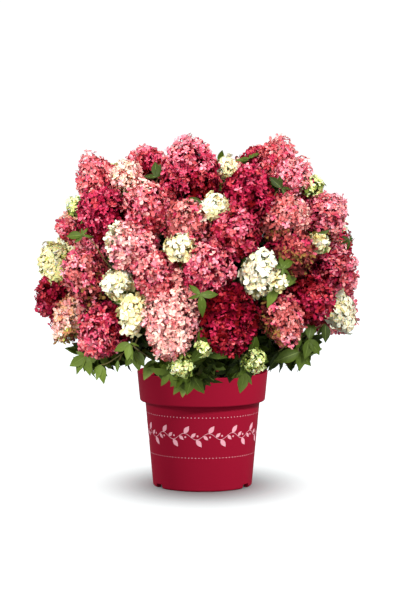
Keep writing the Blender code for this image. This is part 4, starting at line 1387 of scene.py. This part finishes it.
# %% Floor
FLOOR_HALF = 6.0
SHADE_FROM, SHADE_TO, SHADE_LOW, SHADE_HIGH = 0.07, 0.3, 0.0, 0.72
SHADE_NARROW = 1.4
floor_mesh = bpy.data.meshes.new("floor")
corners = [(x * FLOOR_HALF, y * FLOOR_HALF, 0.0) for x, y in ((-1, -1), (1, -1), (1, 1), (-1, 1))]
floor_mesh.from_pydata(corners, [], [(0, 1, 2, 3)])
floor = bpy.data.objects.new("floor", floor_mesh)
bpy.context.scene.collection.objects.link(floor)
table, tree, shader = new_material("white_table", "#cfdadb", roughness=0.9, Emission_Color=(1, 1, 1, 1))
rays = add_node(tree, "ShaderNodeLightPath")
place = add_node(tree, "ShaderNodeTexCoord")
oval = add_node(tree, "ShaderNodeMapping", [(place.outputs["Object"], "Vector")],
                Scale=(SHADE_NARROW, 1.0, 1.0))
reach = add_node(tree, "ShaderNodeVectorMath", [(oval.outputs[0], "Vector")], operation="LENGTH")
fade = add_node(tree, "ShaderNodeMapRange", [(reach.outputs["Value"], "Value")],
                interpolation_type="SMOOTHSTEP", From_Min=SHADE_FROM, From_Max=SHADE_TO,
                To_Min=SHADE_LOW, To_Max=SHADE_HIGH)
shown = add_node(tree, "ShaderNodeMath", operation="MULTIPLY")
tree.links.new(rays.outputs["Is Camera Ray"], shown.inputs[0])
tree.links.new(fade.outputs["Result"], shown.inputs[1])
tree.links.new(shown.outputs[0], shader.inputs["Emission Strength"])
floor_mesh.materials.append(table)
print("the shade fades over", round((SHADE_TO - SHADE_FROM) / MM), "mm")

# %% [markdown]
# An even white surround gives most of the light, as a light tent does. What the camera sees of it is
# a little brighter than what lights the plant, so that the background comes out pure white.

# %% Surround
SURROUND_LIGHT, SURROUND_SEEN = 0.76, 1.05
world = bpy.data.worlds.new("surround")
bpy.context.scene.world = world
world.use_nodes = True
tree = world.node_tree
rays = add_node(tree, "ShaderNodeLightPath")
glow = tree.nodes["Background"]
glow.inputs["Color"].default_value = (1, 1, 1, 1)
glow.inputs["Strength"].default_value = SURROUND_LIGHT
white = add_node(tree, "ShaderNodeBackground", Color=(1, 1, 1, 1), Strength=SURROUND_SEEN)
both = add_node(tree, "ShaderNodeMixShader", [(rays.outputs["Is Camera Ray"], "Fac")])
tree.links.new(glow.outputs[0], both.inputs[1])
tree.links.new(white.outputs[0], both.inputs[2])
tree.links.new(both.outputs[0], tree.nodes["World Output"].inputs["Surface"])
print("the surround lights with a strength of", SURROUND_LIGHT)

# %% [markdown]
# Round soft boxes give the modelling. For the crown a broad key stands at the front right and a weaker
# fill at the front left, so the left side lies in shade. The crown would shade the pot too much under
# these, so the pot has a smaller key and fill of its own, in which only the pot casts shade. One box at
# the back lights both. Light linking keeps each box to its own pieces, and all of them off the table.

# %% Soft boxes
AIM = Vector((0, 0, 0.35))
BACK_BOX = ("back", (-1.6, 2.2, 2.4), 1.2, 70)
CROWN_BOXES = (("key", (1.25, -3.1, 2.5), 1.3, 168), ("fill", (-1.7, -2.9, 1.5), 1.5, 122))
POT_BOXES = (("pot key", (0.95, -1.1, 1.45), 0.35, 54), ("pot fill", (-1.6, -0.7, 1.3), 0.5, 20))


def soft_box(name, place, size, power):
    """A round soft box that faces the middle of the plant: its name, place, width and watts."""
    data = bpy.data.lights.new(name, "AREA")
    data.shape = "DISK"
    data.size = size
    data.energy = power
    lamp = bpy.data.objects.new(name, data)
    lamp.location = place
    lamp.rotation_euler = (AIM - Vector(place)).to_track_quat("-Z", "Y").to_euler()
    bpy.context.scene.collection.objects.link(lamp)
    return lamp.light_linking


def collection_of(name, pieces):
    """A collection for light linking."""
    collection = bpy.data.collections.new(name)
    for piece in pieces:
        collection.objects.link(piece)
    return collection


pot_pieces = [pot, garland_piece]
lit_pieces = [piece for piece in bpy.context.scene.objects if piece.type == "MESH" and piece is not floor]
lit = collection_of("lit by the soft boxes", lit_pieces)
crown_only = collection_of("crown only", [piece for piece in lit_pieces if piece not in pot_pieces])
pot_only = collection_of("pot only", pot_pieces)
soft_box(*BACK_BOX).receiver_collection = lit
for box in CROWN_BOXES:
    soft_box(*box).receiver_collection = crown_only
for box in POT_BOXES:
    linking = soft_box(*box)
    linking.receiver_collection = pot_only
    linking.blocker_collection = pot_only
bpy.context.scene.view_settings.view_transform = "Standard"
print("soft boxes:", 1 + len(CROWN_BOXES) + len(POT_BOXES))
